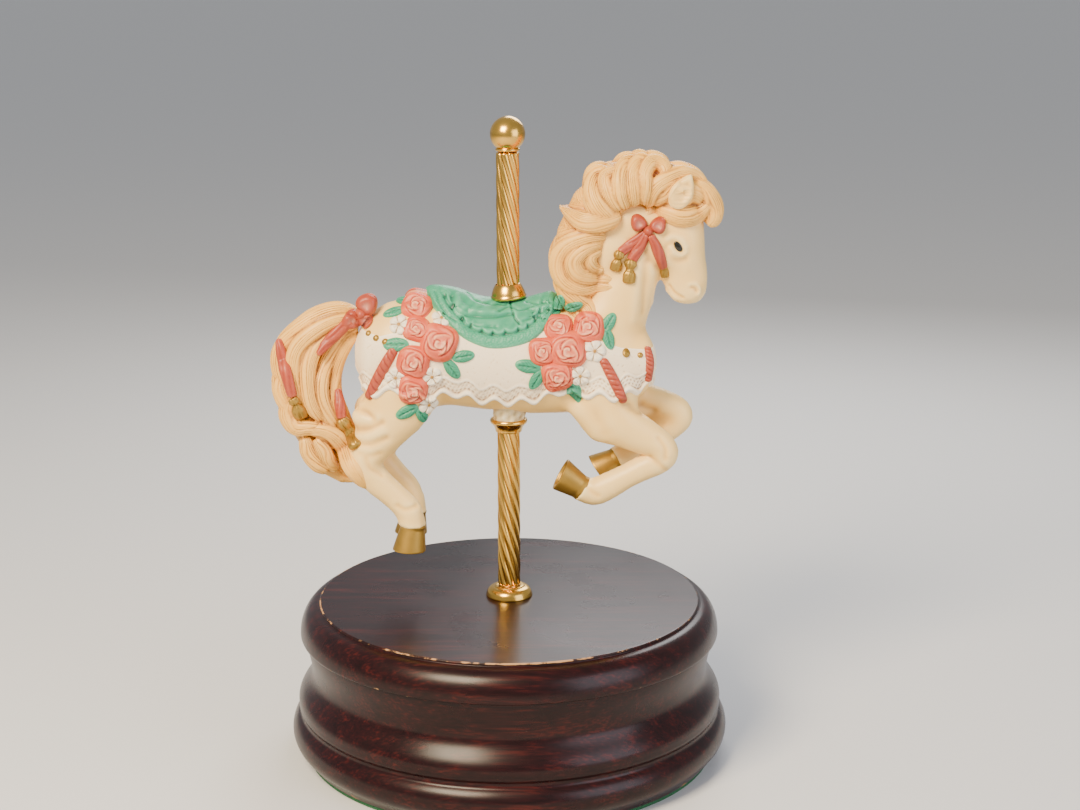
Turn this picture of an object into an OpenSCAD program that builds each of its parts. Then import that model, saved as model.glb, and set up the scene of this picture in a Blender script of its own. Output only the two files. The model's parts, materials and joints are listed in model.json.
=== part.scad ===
// Carousel horse music box: a painted bisque horse on a twisted brass pole, turned by the
// spring movement inside a turned wooden base. Millimetres, +Z up, the pole on the Z axis,
// Z = 0 under the felt, the horse facing +X.

/* [Base] */
// Height of the turned wooden base, felt included
base_h = 46; // [45:0.5:48]
// Radius of the flat top
deck_r = 55.6; // [54.6:0.2:56.4]
// Radius of the quarter-round's lower edge
nosing_r = 61.3; // [60.5:0.1:62]
// Radius of the waist
waist_r = 58.2; // [57.4:0.1:59]
// Radius of the shoulder under the waist
shoulder_r = 62.3; // [61.5:0.1:63]
// Largest radius, at the foot bead
foot_r = 64.3; // [63.6:0.1:65.5]
// Radius of the cavity that holds the movement
cavity_r = 46; // [45.5:0.5:47]
// Radius of the recess under the bottom board
recess_r = 51.5; // [51:0.5:52.5]
// Thickness of wood over the movement
deck_t = 8; // [7.5:0.5:8.5]
// Thickness of the felt ring
felt_t = 1.2; // [0.8:0.1:1.6]
// Thickness of the bottom board
board_t = 3; // [2.5:0.5:3]

/* [Pole] */
// Radius over the pole's ridges
pole_r = 3.3; // [3.1:0.1:3.4]
// Depth of the pole's flutes
flute_depth = 0.5; // [0.2:0.1:0.8]
// Number of flutes round the pole
flutes = 9; // [6:1:12]
// Height in which a flute makes one turn
flute_lead = 55; // [45:1:70]
// Radius of the threaded rod through the pole
rod_r = 1.6; // [1.4:0.1:1.8]
// Radius of the ball finial
ball_r = 4.95; // [4.5:0.05:5.5]
// Radius of the brass flange on the base
flange_r = 6.8; // [6:0.1:8]
// Radius of the ferrule on the saddle
ferrule_r = 5.1; // [4.6:0.1:5.6]
// Radius of the collar's rim under the belly
collar_r = 5.4; // [5:0.1:6]

/* [Movement] */
// Thickness of the bedplate
bed_t = 2; // [1.8:0.1:2]
// Height of the cylinder's axis over the bedplate
axis_over_bed = 10; // [10:0.1:10.2]
// Radius of the winding arbor
arbor_r = 2.5; // [2.3:0.1:2.6]
// Radius of the spring barrel
barrel_r = 15; // [14.9:0.05:15]
// Radius of the pinned cylinder
cyl_r = 6.5; // [6.3:0.1:6.5]
// Notes on the comb
notes = 18; // [16:1:18]
// Teeth on the crown wheel
crown_teeth = 36; // [36]
// Teeth on the cylinder's pinion
pinion_teeth = 8; // [8]
// Teeth on the cylinder's great wheel
great_teeth = 40; // [40]
// Teeth on the governor's pinion
gov_pinion_teeth = 10; // [10]
// Teeth on the governor's worm wheel
worm_wheel_teeth = 12; // [12]
// Threads on the fly's worm
worm_starts = 2; // [2]
// Radial clearance of every shaft in its bearing
run_gap = 0.05; // [0.03:0.01:0.08]

/* [Horse] */
// Distance of each leg from the middle plane
leg_y = 7; // [6:0.5:8]
// Thickness of the saddle over the back
saddle_t = 2; // [1.5:0.5:2.5]
// Thickness of the lace blanket
lace_t = 0.8; // [0.6:0.1:1.2]

/* [Hidden] */
$fn = 48;

// heights of the base and the movement
board_top = 16;
board_z = board_top - board_t;
bed_top = board_top + bed_t;
cavity_top = base_h - deck_t;
axis_z = bed_top + axis_over_bed;
barrel_z = bed_top + 1.2;
barrel_top = axis_z + 5;
barrel_wall = 0.8;
barrel_hub_top = cavity_top - 1;
bush_top = base_h + 3.3;
pole_z = bush_top + 0.2;
sleeve_r = 2.8;
bush_sleeve_r = 4;
rod_fit = 0.05;

// heights on the pole
belly_z = base_h + 53.5;
collar_z = base_h + 49.8;
filler_top = belly_z + 4;
seat_z = base_h + 88.6;
ferrule_h = 4.6;
neck_z = base_h + 130.3;
ball_z = base_h + 135.2;

// the train
crown_mid_r = 16.9;
crown_half_face = 1.5;
pinion_pitch_r = pinion_teeth * crown_mid_r / crown_teeth;
pinion_module = 2 * pinion_pitch_r / pinion_teeth;
crown_pitch_z = axis_z - pinion_pitch_r;
great_module = 0.42;
great_r = great_module * great_teeth / 2;
gov_pinion_r = great_module * gov_pinion_teeth / 2;
gov_y = great_r + gov_pinion_r;
worm_wheel_r = 2.8;
worm_module = 2 * worm_wheel_r / worm_wheel_teeth;
worm_r = 1.2;
worm_lead = PI * worm_module * worm_starts;
fly_y = gov_y + worm_wheel_r + worm_r;
inner_bearing_x = -20.3;
outer_bearing_x = -43.1;
bearing_t = 1.1;
cyl_x0 = -39.4;
cyl_x1 = -22.4;
great_x = -41.2;
great_t = 1.2;
pin_r = 0.18;
pin_tip_r = cyl_r + 0.5;
wheel_x = -36;
wheel_t = 1.8;
pivot_r = 0.6;
fly_r = 3;
fly_z = axis_z + 5;
gov_plate_x0 = -32.4;
gov_plate_x1 = -42.6;
gov_plate_t = 0.9;
comb_tip_y = -(pin_tip_r + 0.25);
comb_root_y = -15;
comb_back_y = -20.5;
comb_t = 1;

brass = "goldenrod";
steel = "silver";
dark_wood = "#3A1610";
bisque = "#F0E3C8";
tan = "#DDB88A";
gold = "#B8923A";
coral = "#D9806C";
jade = "#55AE8C";
lace_white = "#F3EEE6";

// torso: position along X, middle height, half height, half width
torso_rows = [
  [-43, 119, 4, 4.5], [-40, 119, 11, 9.5], [-34, 118.5, 15, 12], [-26, 118.8, 16.4, 12.8],
  [-17, 119, 15, 12.5], [-8, 118, 15.2, 12.5], [4, 117, 15.6, 12.5], [16, 117, 15.4, 12.2],
  [26, 117, 14.8, 11.6], [34, 116.5, 12.5, 10], [39, 116.5, 9, 7.5], [41.5, 116.5, 4, 3.5]
];
// limbs: x, z, half thickness in the side view, half width
neck_rows = [[24, 121, 13, 10.5], [31, 133, 9.5, 8], [35, 143, 8, 6.8], [39, 151, 8, 6.2], [44, 157, 7, 6]];
head_rows = [
  [46.5, 161, 5, 4.5], [47.5, 157.5, 7.4, 5.6], [48.3, 151, 7.2, 5.8], [49.3, 145, 6.6, 5.2],
  [50.4, 139.5, 6.4, 4.4], [50.8, 136, 5.2, 4], [50.8, 133.6, 3, 3]
];
ear_rows = [[48.6, 160.5, 2.4, 1.8], [50, 164.5, 2, 1.4], [51.6, 169, 0.5, 0.4]];
mane_rows = [
  [57, 157.5, 2.4, 3.5], [54.5, 163.5, 4, 5], [48, 168, 5.4, 7], [40, 168.5, 7.6, 8],
  [32, 166.5, 9.2, 8.5], [25, 160, 9.4, 8.5], [20.5, 152, 8.5, 8], [18.5, 144, 7.5, 7.6],
  [19, 137, 6, 6.6], [21, 131, 4, 5]
];
tail_rows = [
  [-41.5, 127.5, 2.4, 2.4], [-48, 129.8, 3, 3.4], [-56, 125.8, 4.4, 5], [-60, 118.5, 6.6, 6],
  [-59, 110, 9, 7], [-56.5, 101, 9.6, 7], [-53.5, 93, 8, 6], [-52.5, 86, 5.5, 4.5],
  [-48, 81.6, 3, 3], [-43.5, 79.8, 1, 1]
];
near_fore = [
  [24, 109, 9, 5], [29, 101, 8, 5.5], [36, 98, 6, 4.6], [42, 95.5, 4.6, 4], [46.2, 90.8, 4.2, 3.8],
  [44, 88.3, 4, 3.6], [39.5, 86.8, 3.8, 3.3], [30, 81.6, 3.7, 3.2], [24, 78.6, 3.8, 3.4],
  [20.4, 81.2, 3.5, 3.3]
];
far_fore = [
  [26, 108, 9, 5], [34, 103.5, 7, 5], [42, 102.3, 5.4, 4.4], [48.5, 101.2, 4.8, 4], [51, 98, 4.4, 3.8],
  [48, 95, 4, 3.6], [42.5, 91.8, 3.7, 3.3], [35, 87.6, 3.7, 3.2], [31, 85.2, 3.6, 3.3]
];
near_hind = [
  [-28, 114, 12, 5.5], [-32.5, 102.5, 8.6, 5.6], [-38.2, 94.6, 6, 4.8], [-42, 88.2, 4.6, 4.2],
  [-38.5, 83, 4.2, 3.7], [-32.4, 78, 3.8, 3.3], [-28.5, 74, 3.8, 3.5], [-27.6, 69, 3.6, 3.6]
];
far_hind = [
  [-28, 113, 11, 5.5], [-31.5, 101, 8, 5.4], [-36.4, 93, 5.8, 4.6], [-39.4, 86.8, 4.5, 4.1],
  [-34.5, 81.6, 4, 3.6], [-30, 77, 3.7, 3.3], [-28.6, 73, 3.7, 3.4], [-28.2, 69.4, 3.6, 3.5]
];
// hooves: from the pastern to the sole
hoof_rows = [
  [[20.8, 80.9, 3.9, 3.7], [15.2, 84.6, 4.9, 4.4]], [[31.6, 85.5, 3.9, 3.7], [26.4, 82.6, 4.9, 4.4]],
  [[-27.6, 69.2, 4.1, 4], [-28.6, 62.8, 5, 4.6]], [[-28.2, 69.6, 4.1, 4], [-29, 63.8, 5, 4.6]]
];
// flowers on each flank: x, z, radius
rose_rows = [
  [-25.6, 133.4, 4.2], [-25.8, 128.3, 3.5], [-19.2, 124.4, 5], [-26.5, 119.2, 4.3], [-26.6, 111, 4],
  [14.4, 128, 3.8], [22.7, 128.1, 4.2], [9.8, 121.9, 3.8], [16.8, 122.2, 4.9], [13.9, 114.9, 4.3]
];
daisy_rows = [
  [-30.4, 129, 2.5], [-18.6, 130.6, 2.5], [-31.5, 114.3, 2.5], [-21.4, 114.9, 2.5], [-22.7, 106.4, 2.5],
  [24.1, 121.7, 2.5], [20.2, 114.9, 2.5]
];
leaf_rows = [
  [-32, 132, 3], [-31.2, 123.6, 3], [-15.6, 117, 3], [-12.6, 120.6, 3], [-28, 104.8, 3], [-24, 103, 3],
  [28.4, 129, 3], [28.6, 124.4, 3], [6, 117.6, 3], [8.2, 113.6, 3], [18.8, 110.2, 3], [18, 132.4, 2.6]
];
// ribbons over the flanks, as x and z
strap_rows = [
  [[-31.5, 124], [-35, 118], [-38, 112], [-40.3, 106.5]],
  [[26.6, 119.6], [29.5, 114.5], [31.6, 110], [33, 106]],
  [[39.9, 122], [40.4, 117.5], [39.6, 112]]
];
stud_rows = [[-39, 125.6, 0.9], [-36.8, 124.8, 0.9], [-34.4, 124, 0.9], [33.2, 121, 1.1], [37, 120, 0.8]];
// bow loops and their hanging ends: points with a radius
tail_bow = [[-41.6, -2, 131.5, 1.6], [-45, -4.5, 134, 2.6], [-41.6, -2, 131.5, 1.6], [-42.4, -5, 127.6, 2.4]];
tail_ends = [
  [[-44, -5, 130, 1.1], [-50, -6.5, 123.5, 1.1], [-54, -7, 119, 1.1]],
  [[-64, -4.5, 123.5, 1.1], [-64.5, -5.5, 115, 1.1], [-61, -6.5, 107.5, 1.1]],
  [[-48, -6.5, 109, 1.1], [-47.5, -6.5, 101.5, 1.1]]
];
head_bow = [[39.2, -6.8, 156.4, 1.6], [36, -7, 158, 2.3], [39.2, -6.8, 156.4, 1.6], [42.4, -6.6, 156, 2.3]];
head_ends = [
  [[38.6, -7, 155.4, 0.9], [34.5, -7.6, 152.2, 0.9], [31.5, -7.8, 149.6, 0.9]],
  [[39, -7, 155.2, 0.9], [36.6, -7.4, 150.6, 0.9], [35.2, -7.6, 147.2, 0.9]],
  [[40.2, -6.8, 155, 0.9], [42.6, -6.6, 149.6, 0.9], [44.2, -6.4, 144.6, 0.9]]
];
tassel_rows = [
  [[-61, -6.5, 107.5, 1.1], [-59, -6.8, 102.6, 2]], [[-47.5, -6.5, 101.5, 1.1], [-44, -6.4, 94, 2]],
  [[31.5, -7.8, 149.6, 1], [30.8, -7.9, 144.6, 1.7]], [[35.2, -7.6, 147.2, 1], [34.6, -7.7, 141, 1.7]],
  [[44.2, -6.4, 144.6, 0.8], [44.6, -6.2, 142.4, 1.2]]
];

// ---- helpers ----

function arc(cx, cy, rx, ry, from, to, steps) =
  [for (i = [0:steps]) let (a = from + (to - from) * i / steps) [cx + rx * cos(a), cy + ry * sin(a)]];

// half a wave from one radius to another between two heights
function wave(r0, z0, r1, z1, steps) =
  [for (i = [0:steps]) let (t = i / steps) [r0 + (r1 - r0) * (1 - cos(180 * t)) / 2, z0 + (z1 - z0) * t]];

function inv(a) = tan(a) - a * PI / 180;

// half the angle that an involute tooth fills at radius r
function tooth_half(r, pitch_r, base_r, half) =
  half + (inv(acos(base_r / pitch_r)) - inv(acos(base_r / max(r, base_r)))) * 180 / PI;

// outline of a spur gear with a tooth on its +X side; fill is the tooth's share of the pitch
function gear_outline(teeth, m, fill, dedendum = 1.2, addendum = 0.95) =
  let (
    pitch_r = teeth * m / 2,
    base_r = pitch_r * cos(20),
    half = 180 / teeth * fill,
    root_r = pitch_r - dedendum * m,
    low_r = max(base_r, root_r + 0.02),
    tip_r = pitch_r + addendum * m,
    radii = [root_r, low_r, (low_r + pitch_r) / 2, pitch_r, (pitch_r + tip_r) / 2, tip_r]
  )
  [for (k = [0:teeth - 1]) each concat(
    [for (r = radii) let (a = k * 360 / teeth - tooth_half(r, pitch_r, base_r, half)) r * [cos(a), sin(a)]],
    [for (i = [len(radii) - 1:-1:0])
      let (r = radii[i], a = k * 360 / teeth + tooth_half(r, pitch_r, base_r, half)) r * [cos(a), sin(a)]]
  )];

// direction of a limb at row i, as the angle from +X towards +Z
function limb_angle(rows, i) =
  let (a = rows[max(i - 1, 0)], b = rows[min(i + 1, len(rows) - 1)]) atan2(b[1] - a[1], b[0] - a[0]);

module limb_disc(row, angle) {
  translate([row[0], 0, row[1]])
    rotate([0, 90 - angle, 0])
      scale([row[2], row[3], 1])
        cylinder(r = 1, h = 0.4, center = true, $fn = 20);
}

// a limb through its rows, in the plane y
module limb(rows, y = 0) {
  translate([0, y, 0])
    for (i = [0:len(rows) - 2])
      hull() {
        limb_disc(rows[i], limb_angle(rows, i));
        limb_disc(rows[i + 1], limb_angle(rows, i + 1));
      }
}

// a chain of balls, each point being x, y, z and radius
module bead_chain(points) {
  for (i = [0:len(points) - 2])
    hull()
      for (p = [points[i], points[i + 1]])
        translate([p[0], p[1], p[2]]) sphere(r = p[3], $fn = 10);
}

module torso(grow = 0) {
  for (i = [0:len(torso_rows) - 2])
    hull()
      for (row = [torso_rows[i], torso_rows[i + 1]])
        translate([row[0], 0, row[1]])
          rotate([0, 90, 0])
            scale([row[2] + grow, row[3] + grow, 1])
              cylinder(r = 1, h = 0.4, center = true, $fn = 28);
}

function torso_at(x, column) = lookup(x, [for (row = torso_rows) [row[0], row[column]]]);

// half width of the torso at a place on its side
function flank(x, z) =
  torso_at(x, 3) * sqrt(max(0.04, 1 - pow((z - torso_at(x, 1)) / torso_at(x, 2), 2)));

module both_flanks() {
  for (side = [-1, 1])
    scale([1, side, 1]) children();
}

module screw(head_r, head_h, shank_r, shank_h) {
  difference() {
    cylinder(r = head_r, h = head_h);
    translate([-head_r, -0.2, head_h - 0.5]) cube([2 * head_r, 0.4, 1]);
  }
  translate([0, 0, -shank_h]) cylinder(r = shank_r, h = shank_h + 0.01);
}

// places the children on the cylinder's axis line, with +Z turned to +X
module along_x(x, y) {
  translate([x, y, axis_z]) rotate([0, 90, 0]) children();
}

// ---- the base ----

module base_profile() {
  polygon(concat(
    [[0, felt_t], [0, base_h]],
    arc(deck_r - 0.6, base_h - 0.6, 0.6, 0.6, 90, 0, 4),
    arc(deck_r + 0.2, base_h - 9, nosing_r - deck_r - 0.2, 8, 90, 0, 10),
    [[nosing_r - 0.3, base_h - 9.5]],
    wave(waist_r + 1.8, base_h - 10, waist_r, base_h - 20, 8),
    wave(waist_r, base_h - 20, shoulder_r, base_h - 29, 8),
    arc(shoulder_r - 2, base_h - 30.2, 2, 2.2, 10, -40, 3),
    [[shoulder_r - 0.6, base_h - 32.6]],
    arc(foot_r - 5.75, base_h - 38, 5.75, 5.75, 52, -52, 10),
    [[foot_r - 3.4, base_h - 44], [foot_r - 3.8, felt_t]]
  ));
}

board_screw_ring = 48.8;
board_screw_r = 1.1;
board_screw_depth = 9;

module board_screw_places() {
  for (a = [45:90:315])
    rotate(a) translate([board_screw_ring, 0, board_z]) children();
}

module base_shell() color(dark_wood) difference() {
  rotate_extrude() base_profile();
  translate([0, 0, felt_t - 1]) cylinder(r = recess_r, h = board_top - felt_t + 1);
  translate([0, 0, board_top - 1]) cylinder(r = cavity_r, h = cavity_top - board_top + 1);
  cylinder(r = bush_sleeve_r, h = base_h + 1);
  board_screw_places() cylinder(r = board_screw_r, h = board_screw_depth);
}

module bottom_board() color("tan") difference() {
  translate([0, 0, board_z]) cylinder(r = recess_r - 0.2, h = board_t);
  cylinder(r = 4.2, h = base_h);
  board_screw_places() translate([0, 0, -1]) cylinder(r = board_screw_r, h = board_t + 2);
  bed_screw_places() translate([0, 0, board_z - 1]) cylinder(r = 1.1, h = board_t + 2);
}

module board_screws() color(steel)
  board_screw_places() mirror([0, 0, 1]) screw(2.2, 1.2, board_screw_r, board_screw_depth);

module felt_ring() color("darkgreen") difference() {
  cylinder(r = foot_r - 4.3, h = felt_t);
  translate([0, 0, -1]) cylinder(r = recess_r + 1, h = felt_t + 2);
}

module pole_bush() color(brass) rotate_extrude()
  polygon(concat(
    [[sleeve_r + run_gap, cavity_top], [bush_sleeve_r, cavity_top], [bush_sleeve_r, base_h], [flange_r, base_h]],
    [[flange_r, base_h + 0.8]],
    arc(4.4, base_h + 0.8, flange_r - 4.6, 2.5, 0, 90, 6),
    [[sleeve_r + run_gap, bush_top]]
  ));

// ---- the movement ----

bed_x0 = -43.2;
bed_holes = [[-27, -17.8], [-19, -14.5], [16, 9]];

module bed_screw_places() {
  for (p = bed_holes)
    translate([p[0], p[1], 0]) children();
}

comb_screw_x = [-36, -26];

module bedplate() color("#8F8F88") difference() {
  union() {
    translate([0, 0, board_top]) cylinder(r = 21, h = bed_t);
    translate([bed_x0, -11.5, board_top]) cube([30, 24.5, bed_t]);
    translate([-40, comb_back_y - 0.4, board_top]) cube([24, 12, bed_t]);
    translate([-39, 12, board_top]) cube([24, 7, bed_t]);
    translate([-40, comb_back_y, bed_top - 0.01])
      cube([18, comb_root_y - comb_back_y, axis_z - comb_t / 2 - bed_top + 0.01]);
  }
  translate([0, 0, board_top - 1]) cylinder(r = arbor_r + run_gap, h = bed_t + 2);
  for (x = comb_screw_x)
    translate([x, (comb_root_y + comb_back_y) / 2, axis_z - 6]) cylinder(r = 0.8, h = 8);
  bed_screw_places() translate([0, 0, board_top - 1]) cylinder(r = 1.1, h = 6);
}

module bedplate_screws() color(steel)
  bed_screw_places() translate([0, 0, board_z]) mirror([0, 0, 1]) screw(1.9, 1, 1.1, 6);

comb_pitch = (cyl_x1 - cyl_x0 - 1) / notes;

module comb() color(steel) difference() {
  union() {
    translate([-40, comb_back_y, axis_z - comb_t / 2]) cube([18, comb_root_y - comb_back_y, comb_t]);
    for (i = [0:notes - 1])
      translate([cyl_x0 + 0.5 + comb_pitch * i + 0.1, comb_root_y - 0.01, axis_z - comb_t / 2])
        cube([comb_pitch - 0.2, comb_tip_y - comb_root_y + 0.01, comb_t * 0.6]);
  }
  for (x = comb_screw_x)
    translate([x, (comb_root_y + comb_back_y) / 2, axis_z - 3]) cylinder(r = 0.8, h = 6);
}

module comb_screws() color(steel)
  for (x = comb_screw_x)
    translate([x, (comb_root_y + comb_back_y) / 2, axis_z + comb_t / 2]) screw(1.8, 1, 0.8, 5);

module bearing_plate(x) {
  difference() {
    union() {
      translate([x, -3.2, bed_top]) cube([bearing_t, 6.4, axis_over_bed]);
      translate([x, 0, axis_z]) rotate([0, 90, 0]) cylinder(r = 3.2, h = bearing_t);
    }
    translate([x - 1, 0, axis_z]) rotate([0, 90, 0]) cylinder(r = 1 + run_gap, h = bearing_t + 2);
  }
}

bearing_screw_places = [[inner_bearing_x - 1.2, -7], [outer_bearing_x + 2.2, -7]];

module cylinder_bearings() color("#8F8F88") difference() {
  union() {
    bearing_plate(inner_bearing_x - bearing_t / 2);
    bearing_plate(outer_bearing_x);
    for (p = bearing_screw_places)
      translate([p[0] - 1.2, p[1] - 1.6, bed_top]) cube([2.4, 5.8, 1]);
  }
  for (p = bearing_screw_places)
    translate([p[0], p[1], bed_top - 1]) cylinder(r = 0.6, h = 3);
}

module bearing_screws() color(steel)
  for (p = bearing_screw_places)
    translate([p[0], p[1], bed_top + 1]) screw(1.1, 0.8, 0.6, 1);

module cylinder_arbor() color(steel)
  along_x(outer_bearing_x, 0) cylinder(r = 1, h = -outer_bearing_x - 15.9);

module music_cylinder() color(brass) along_x(cyl_x0, 0) difference() {
  cylinder(r = cyl_r, h = cyl_x1 - cyl_x0);
  translate([0, 0, 1]) cylinder(r = cyl_r - 0.6, h = cyl_x1 - cyl_x0 - 2);
  translate([0, 0, -1]) cylinder(r = 1, h = cyl_x1 - cyl_x0 + 2);
}

pins_per_note = 4;
pin_spread = 137.5;

module cylinder_pins() color(steel)
  for (i = [0:notes - 1])
    for (k = [0:pins_per_note - 1])
      along_x(cyl_x0 + 0.5 + comb_pitch * (i + 0.5), 0)
        rotate(i * pin_spread + k * (360 / pins_per_note) + 8 * k * k)
          rotate([0, 90, 0]) translate([0, 0, cyl_r - 0.5])
            cylinder(r = pin_r, h = pin_tip_r - cyl_r + 0.5, $fn = 16);

module cylinder_pinion() color(brass) along_x(-crown_mid_r - crown_half_face + 0.3, 0)
  linear_extrude(2 * crown_half_face - 0.6) difference() {
    rotate(180) polygon(gear_outline(pinion_teeth, pinion_module, 0.4, 1.05, 0.75));
    circle(r = 1);
  }

module great_wheel() color(brass) along_x(great_x, 0)
  linear_extrude(great_t) difference() {
    rotate(90 + 180 / great_teeth) polygon(gear_outline(great_teeth, great_module, 0.43));
    circle(r = 1);
  }

module governor_pinion() color(steel) along_x(gov_plate_x1 + 0.25, gov_y) {
  linear_extrude(great_x + great_t - gov_plate_x1) difference() {
    rotate(-90) polygon(gear_outline(gov_pinion_teeth, great_module, 0.43, 1.1, 0.85));
    circle(r = pivot_r);
  }
  translate([0, 0, -gov_plate_t]) cylinder(r = pivot_r, h = gov_plate_x0 - gov_plate_x1 + 1.6 * gov_plate_t);
}

module worm_wheel() color(brass) along_x(wheel_x - wheel_t / 2, gov_y) {
  linear_extrude(wheel_t, twist = -wheel_twist, slices = 2) rotate(-wheel_twist / 2 + 90 + 15)
    difference() {
      polygon(gear_outline(worm_wheel_teeth, worm_module, 0.36, 1.15, 0.6));
      circle(r = pivot_r + 0.02, $fn = 16);
    }
}
wheel_twist = wheel_t * worm_lead / (2 * PI * worm_r) / worm_wheel_r * 180 / PI;

worm_h = 3.4;

module governor_worm() color(steel) translate([wheel_x, fly_y, 0]) {
  translate([0, 0, axis_z - worm_h / 2])
    linear_extrude(worm_h, twist = -360 * worm_h / worm_lead, slices = 18)
      rotate(-90 - 180 * worm_h / worm_lead) {
        circle(r = 0.72, $fn = 16);
        for (a = [0:180:180])
          rotate(a) polygon([[0, -0.5], [0.7, -0.42], [1.55, -0.26], [1.55, 0.26], [0.7, 0.42], [0, 0.5]]);
      }
  translate([0, 0, bed_top + 3]) cylinder(r = 0.45, h = fly_z + 5 - bed_top - 3);
}

module air_brake_fly() color("lightgray") translate([wheel_x, fly_y, fly_z]) difference() {
  union() {
    cylinder(r = 0.9, h = 3);
    translate([-fly_r, -0.15, 0.2]) cube([2 * fly_r, 0.3, 2.6]);
  }
  translate([0, 0, -1]) cylinder(r = 0.45, h = 6);
}

gov_arm_z = fly_z + 3.8;

module governor_frame() color("#8F8F88") difference() {
  union() {
    for (x = [gov_plate_x0, gov_plate_x1 - gov_plate_t])
      translate([x, gov_y - 1.6, bed_top]) cube([gov_plate_t, 3.2, axis_over_bed + 1.6]);
    translate([gov_plate_x0, gov_y - 1.6, bed_top]) cube([gov_plate_t, fly_y - gov_y + 3, gov_arm_z - bed_top + 0.9]);
    translate([gov_plate_x1 - gov_plate_t, gov_y - 1.6, bed_top])
      cube([gov_plate_x0 - gov_plate_x1 + 2 * gov_plate_t, 3.2, 1]);
    translate([wheel_x - 4, gov_y - 1.6, bed_top])
      cube([gov_plate_x0 - wheel_x + 4 + gov_plate_t, fly_y - gov_y + 3, 1]);
    translate([wheel_x - 1.2, fly_y - 1.2, gov_arm_z]) cube([gov_plate_x0 - wheel_x + 1.3, 2.4, 0.9]);
    translate([wheel_x - 1.2, fly_y - 1.2, bed_top + 0.9]) cube([2.4, 2.4, 2.6]);
  }
  along_x(gov_plate_x1 - 2, gov_y) cylinder(r = pivot_r + run_gap, h = 14);
  translate([wheel_x, fly_y, bed_top + 1.2]) cylinder(r = 0.45 + run_gap, h = 20);
  translate([gov_plate_x0 - 1.6, gov_y + 1, bed_top - 1]) cylinder(r = 0.6, h = 3);
}

module governor_screw() color(steel)
  translate([gov_plate_x0 - 1.6, gov_y + 1, bed_top + 1]) screw(1.1, 0.8, 0.6, 1);

coil_r = 0.35;
coil_turns = 5;

module clutch_spring() color(steel) rotate_extrude()
  for (i = [0:coil_turns - 1])
    translate([arbor_r + 0.08 + coil_r, board_top - coil_r - i * 1.7 * coil_r]) circle(r = coil_r);

// ---- the key ----

key_z = 3;
key_h = 9.4;
key_wing = 12;

module winding_key() color(brass) difference() {
  union() {
    translate([0, 0, key_z]) cylinder(r = 3, h = key_h);
    intersection() {
      union() {
        for (side = [-1, 1])
          translate([side * (key_wing - 4.6), 0, key_z + 3.6])
            rotate([90, 0, 0]) cylinder(r = 4.4, h = 1.4, center = true);
        translate([-key_wing + 4, -0.7, key_z + 1.4]) cube([2 * key_wing - 8, 1.4, 4.4]);
      }
      translate([-key_wing, -1, key_z - 0.6]) cube([2 * key_wing, 2, 9]);
    }
  }
  translate([0, 0, key_z + 2]) cylinder(r = rod_r + 0.02, h = key_h);
  for (side = [-1, 1])
    translate([side * (key_wing - 4.6), 0, key_z + 3.6]) rotate([90, 0, 0]) cylinder(r = 1.6, h = 4, center = true);
}

module winding_arbor() color(steel) {
  translate([0, 0, key_z + 2]) cylinder(r = rod_r, h = 8);
  translate([0, 0, key_z + key_h + 0.1]) cylinder(r = arbor_r, h = barrel_top - 2 - key_z - key_h);
  translate([0, 0, bed_top + 0.1]) cylinder(r = 4, h = 1);
}

// ---- what turns with the pole ----

module spring_barrel() color(brass) difference() {
  translate([0, 0, barrel_z]) cylinder(r = barrel_r, h = barrel_top - barrel_z);
  translate([0, 0, barrel_z + 1.2]) cylinder(r = barrel_r - barrel_wall, h = barrel_top);
  cylinder(r = arbor_r + run_gap, h = base_h);
}

module barrel_cover() color(brass) difference() {
  union() {
    translate([0, 0, barrel_top]) cylinder(r = barrel_r, h = 1);
    translate([0, 0, barrel_top + 0.9]) cylinder(r = 4, h = barrel_hub_top - barrel_top - 0.9);
  }
  translate([0, 0, barrel_top + 0.5]) cylinder(r = rod_r, h = 8);
}

spring_turns = 6;
spring_t = 0.5;
spring_inner_r = 4.4;
spring_steps = 20;
spring_step_pitch = (barrel_r - barrel_wall - spring_t - spring_inner_r) / spring_turns / spring_steps;

function spring_point(i, out) =
  (spring_inner_r + i * spring_step_pitch + out) * [cos(360 * i / spring_steps), sin(360 * i / spring_steps)];

module mainspring() color("steelblue") translate([0, 0, barrel_z + 1.6])
  linear_extrude(barrel_top - barrel_z - 2)
    polygon(concat(
      [for (i = [0:spring_turns * spring_steps]) spring_point(i, 0)],
      [for (i = [spring_turns * spring_steps:-1:0]) spring_point(i, spring_t)]
    ));

crown_tooth_h = 1.55;
crown_rim_z = crown_pitch_z - 0.95;

module crown_wheel() color(brass) {
  translate([0, 0, crown_rim_z - 1.6]) difference() {
    cylinder(r = crown_mid_r + crown_half_face, h = 1.6);
    translate([0, 0, -1]) cylinder(r = barrel_r, h = 4);
  }
  for (k = [0:crown_teeth - 1])
    rotate((k + 0.5) * 360 / crown_teeth + 180)
      translate([crown_mid_r - crown_half_face + 0.1, 0, crown_rim_z])
        rotate([90, 0, 90])
          linear_extrude(2 * crown_half_face - 0.1)
            polygon([[-0.82, -0.1], [0.82, -0.1], [0.5, crown_tooth_h * 0.6], [0.2, crown_tooth_h],
              [-0.2, crown_tooth_h], [-0.5, crown_tooth_h * 0.6]]);
}

module drive_sleeve() color(brass) difference() {
  translate([0, 0, barrel_hub_top]) cylinder(r = sleeve_r, h = pole_z - barrel_hub_top);
  cylinder(r = rod_r, h = base_h * 2);
}

module core_rod() color(steel)
  translate([0, 0, barrel_top + 0.5]) cylinder(r = rod_r, h = ball_z - barrel_top - 3);

flute_steps = 5;

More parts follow.
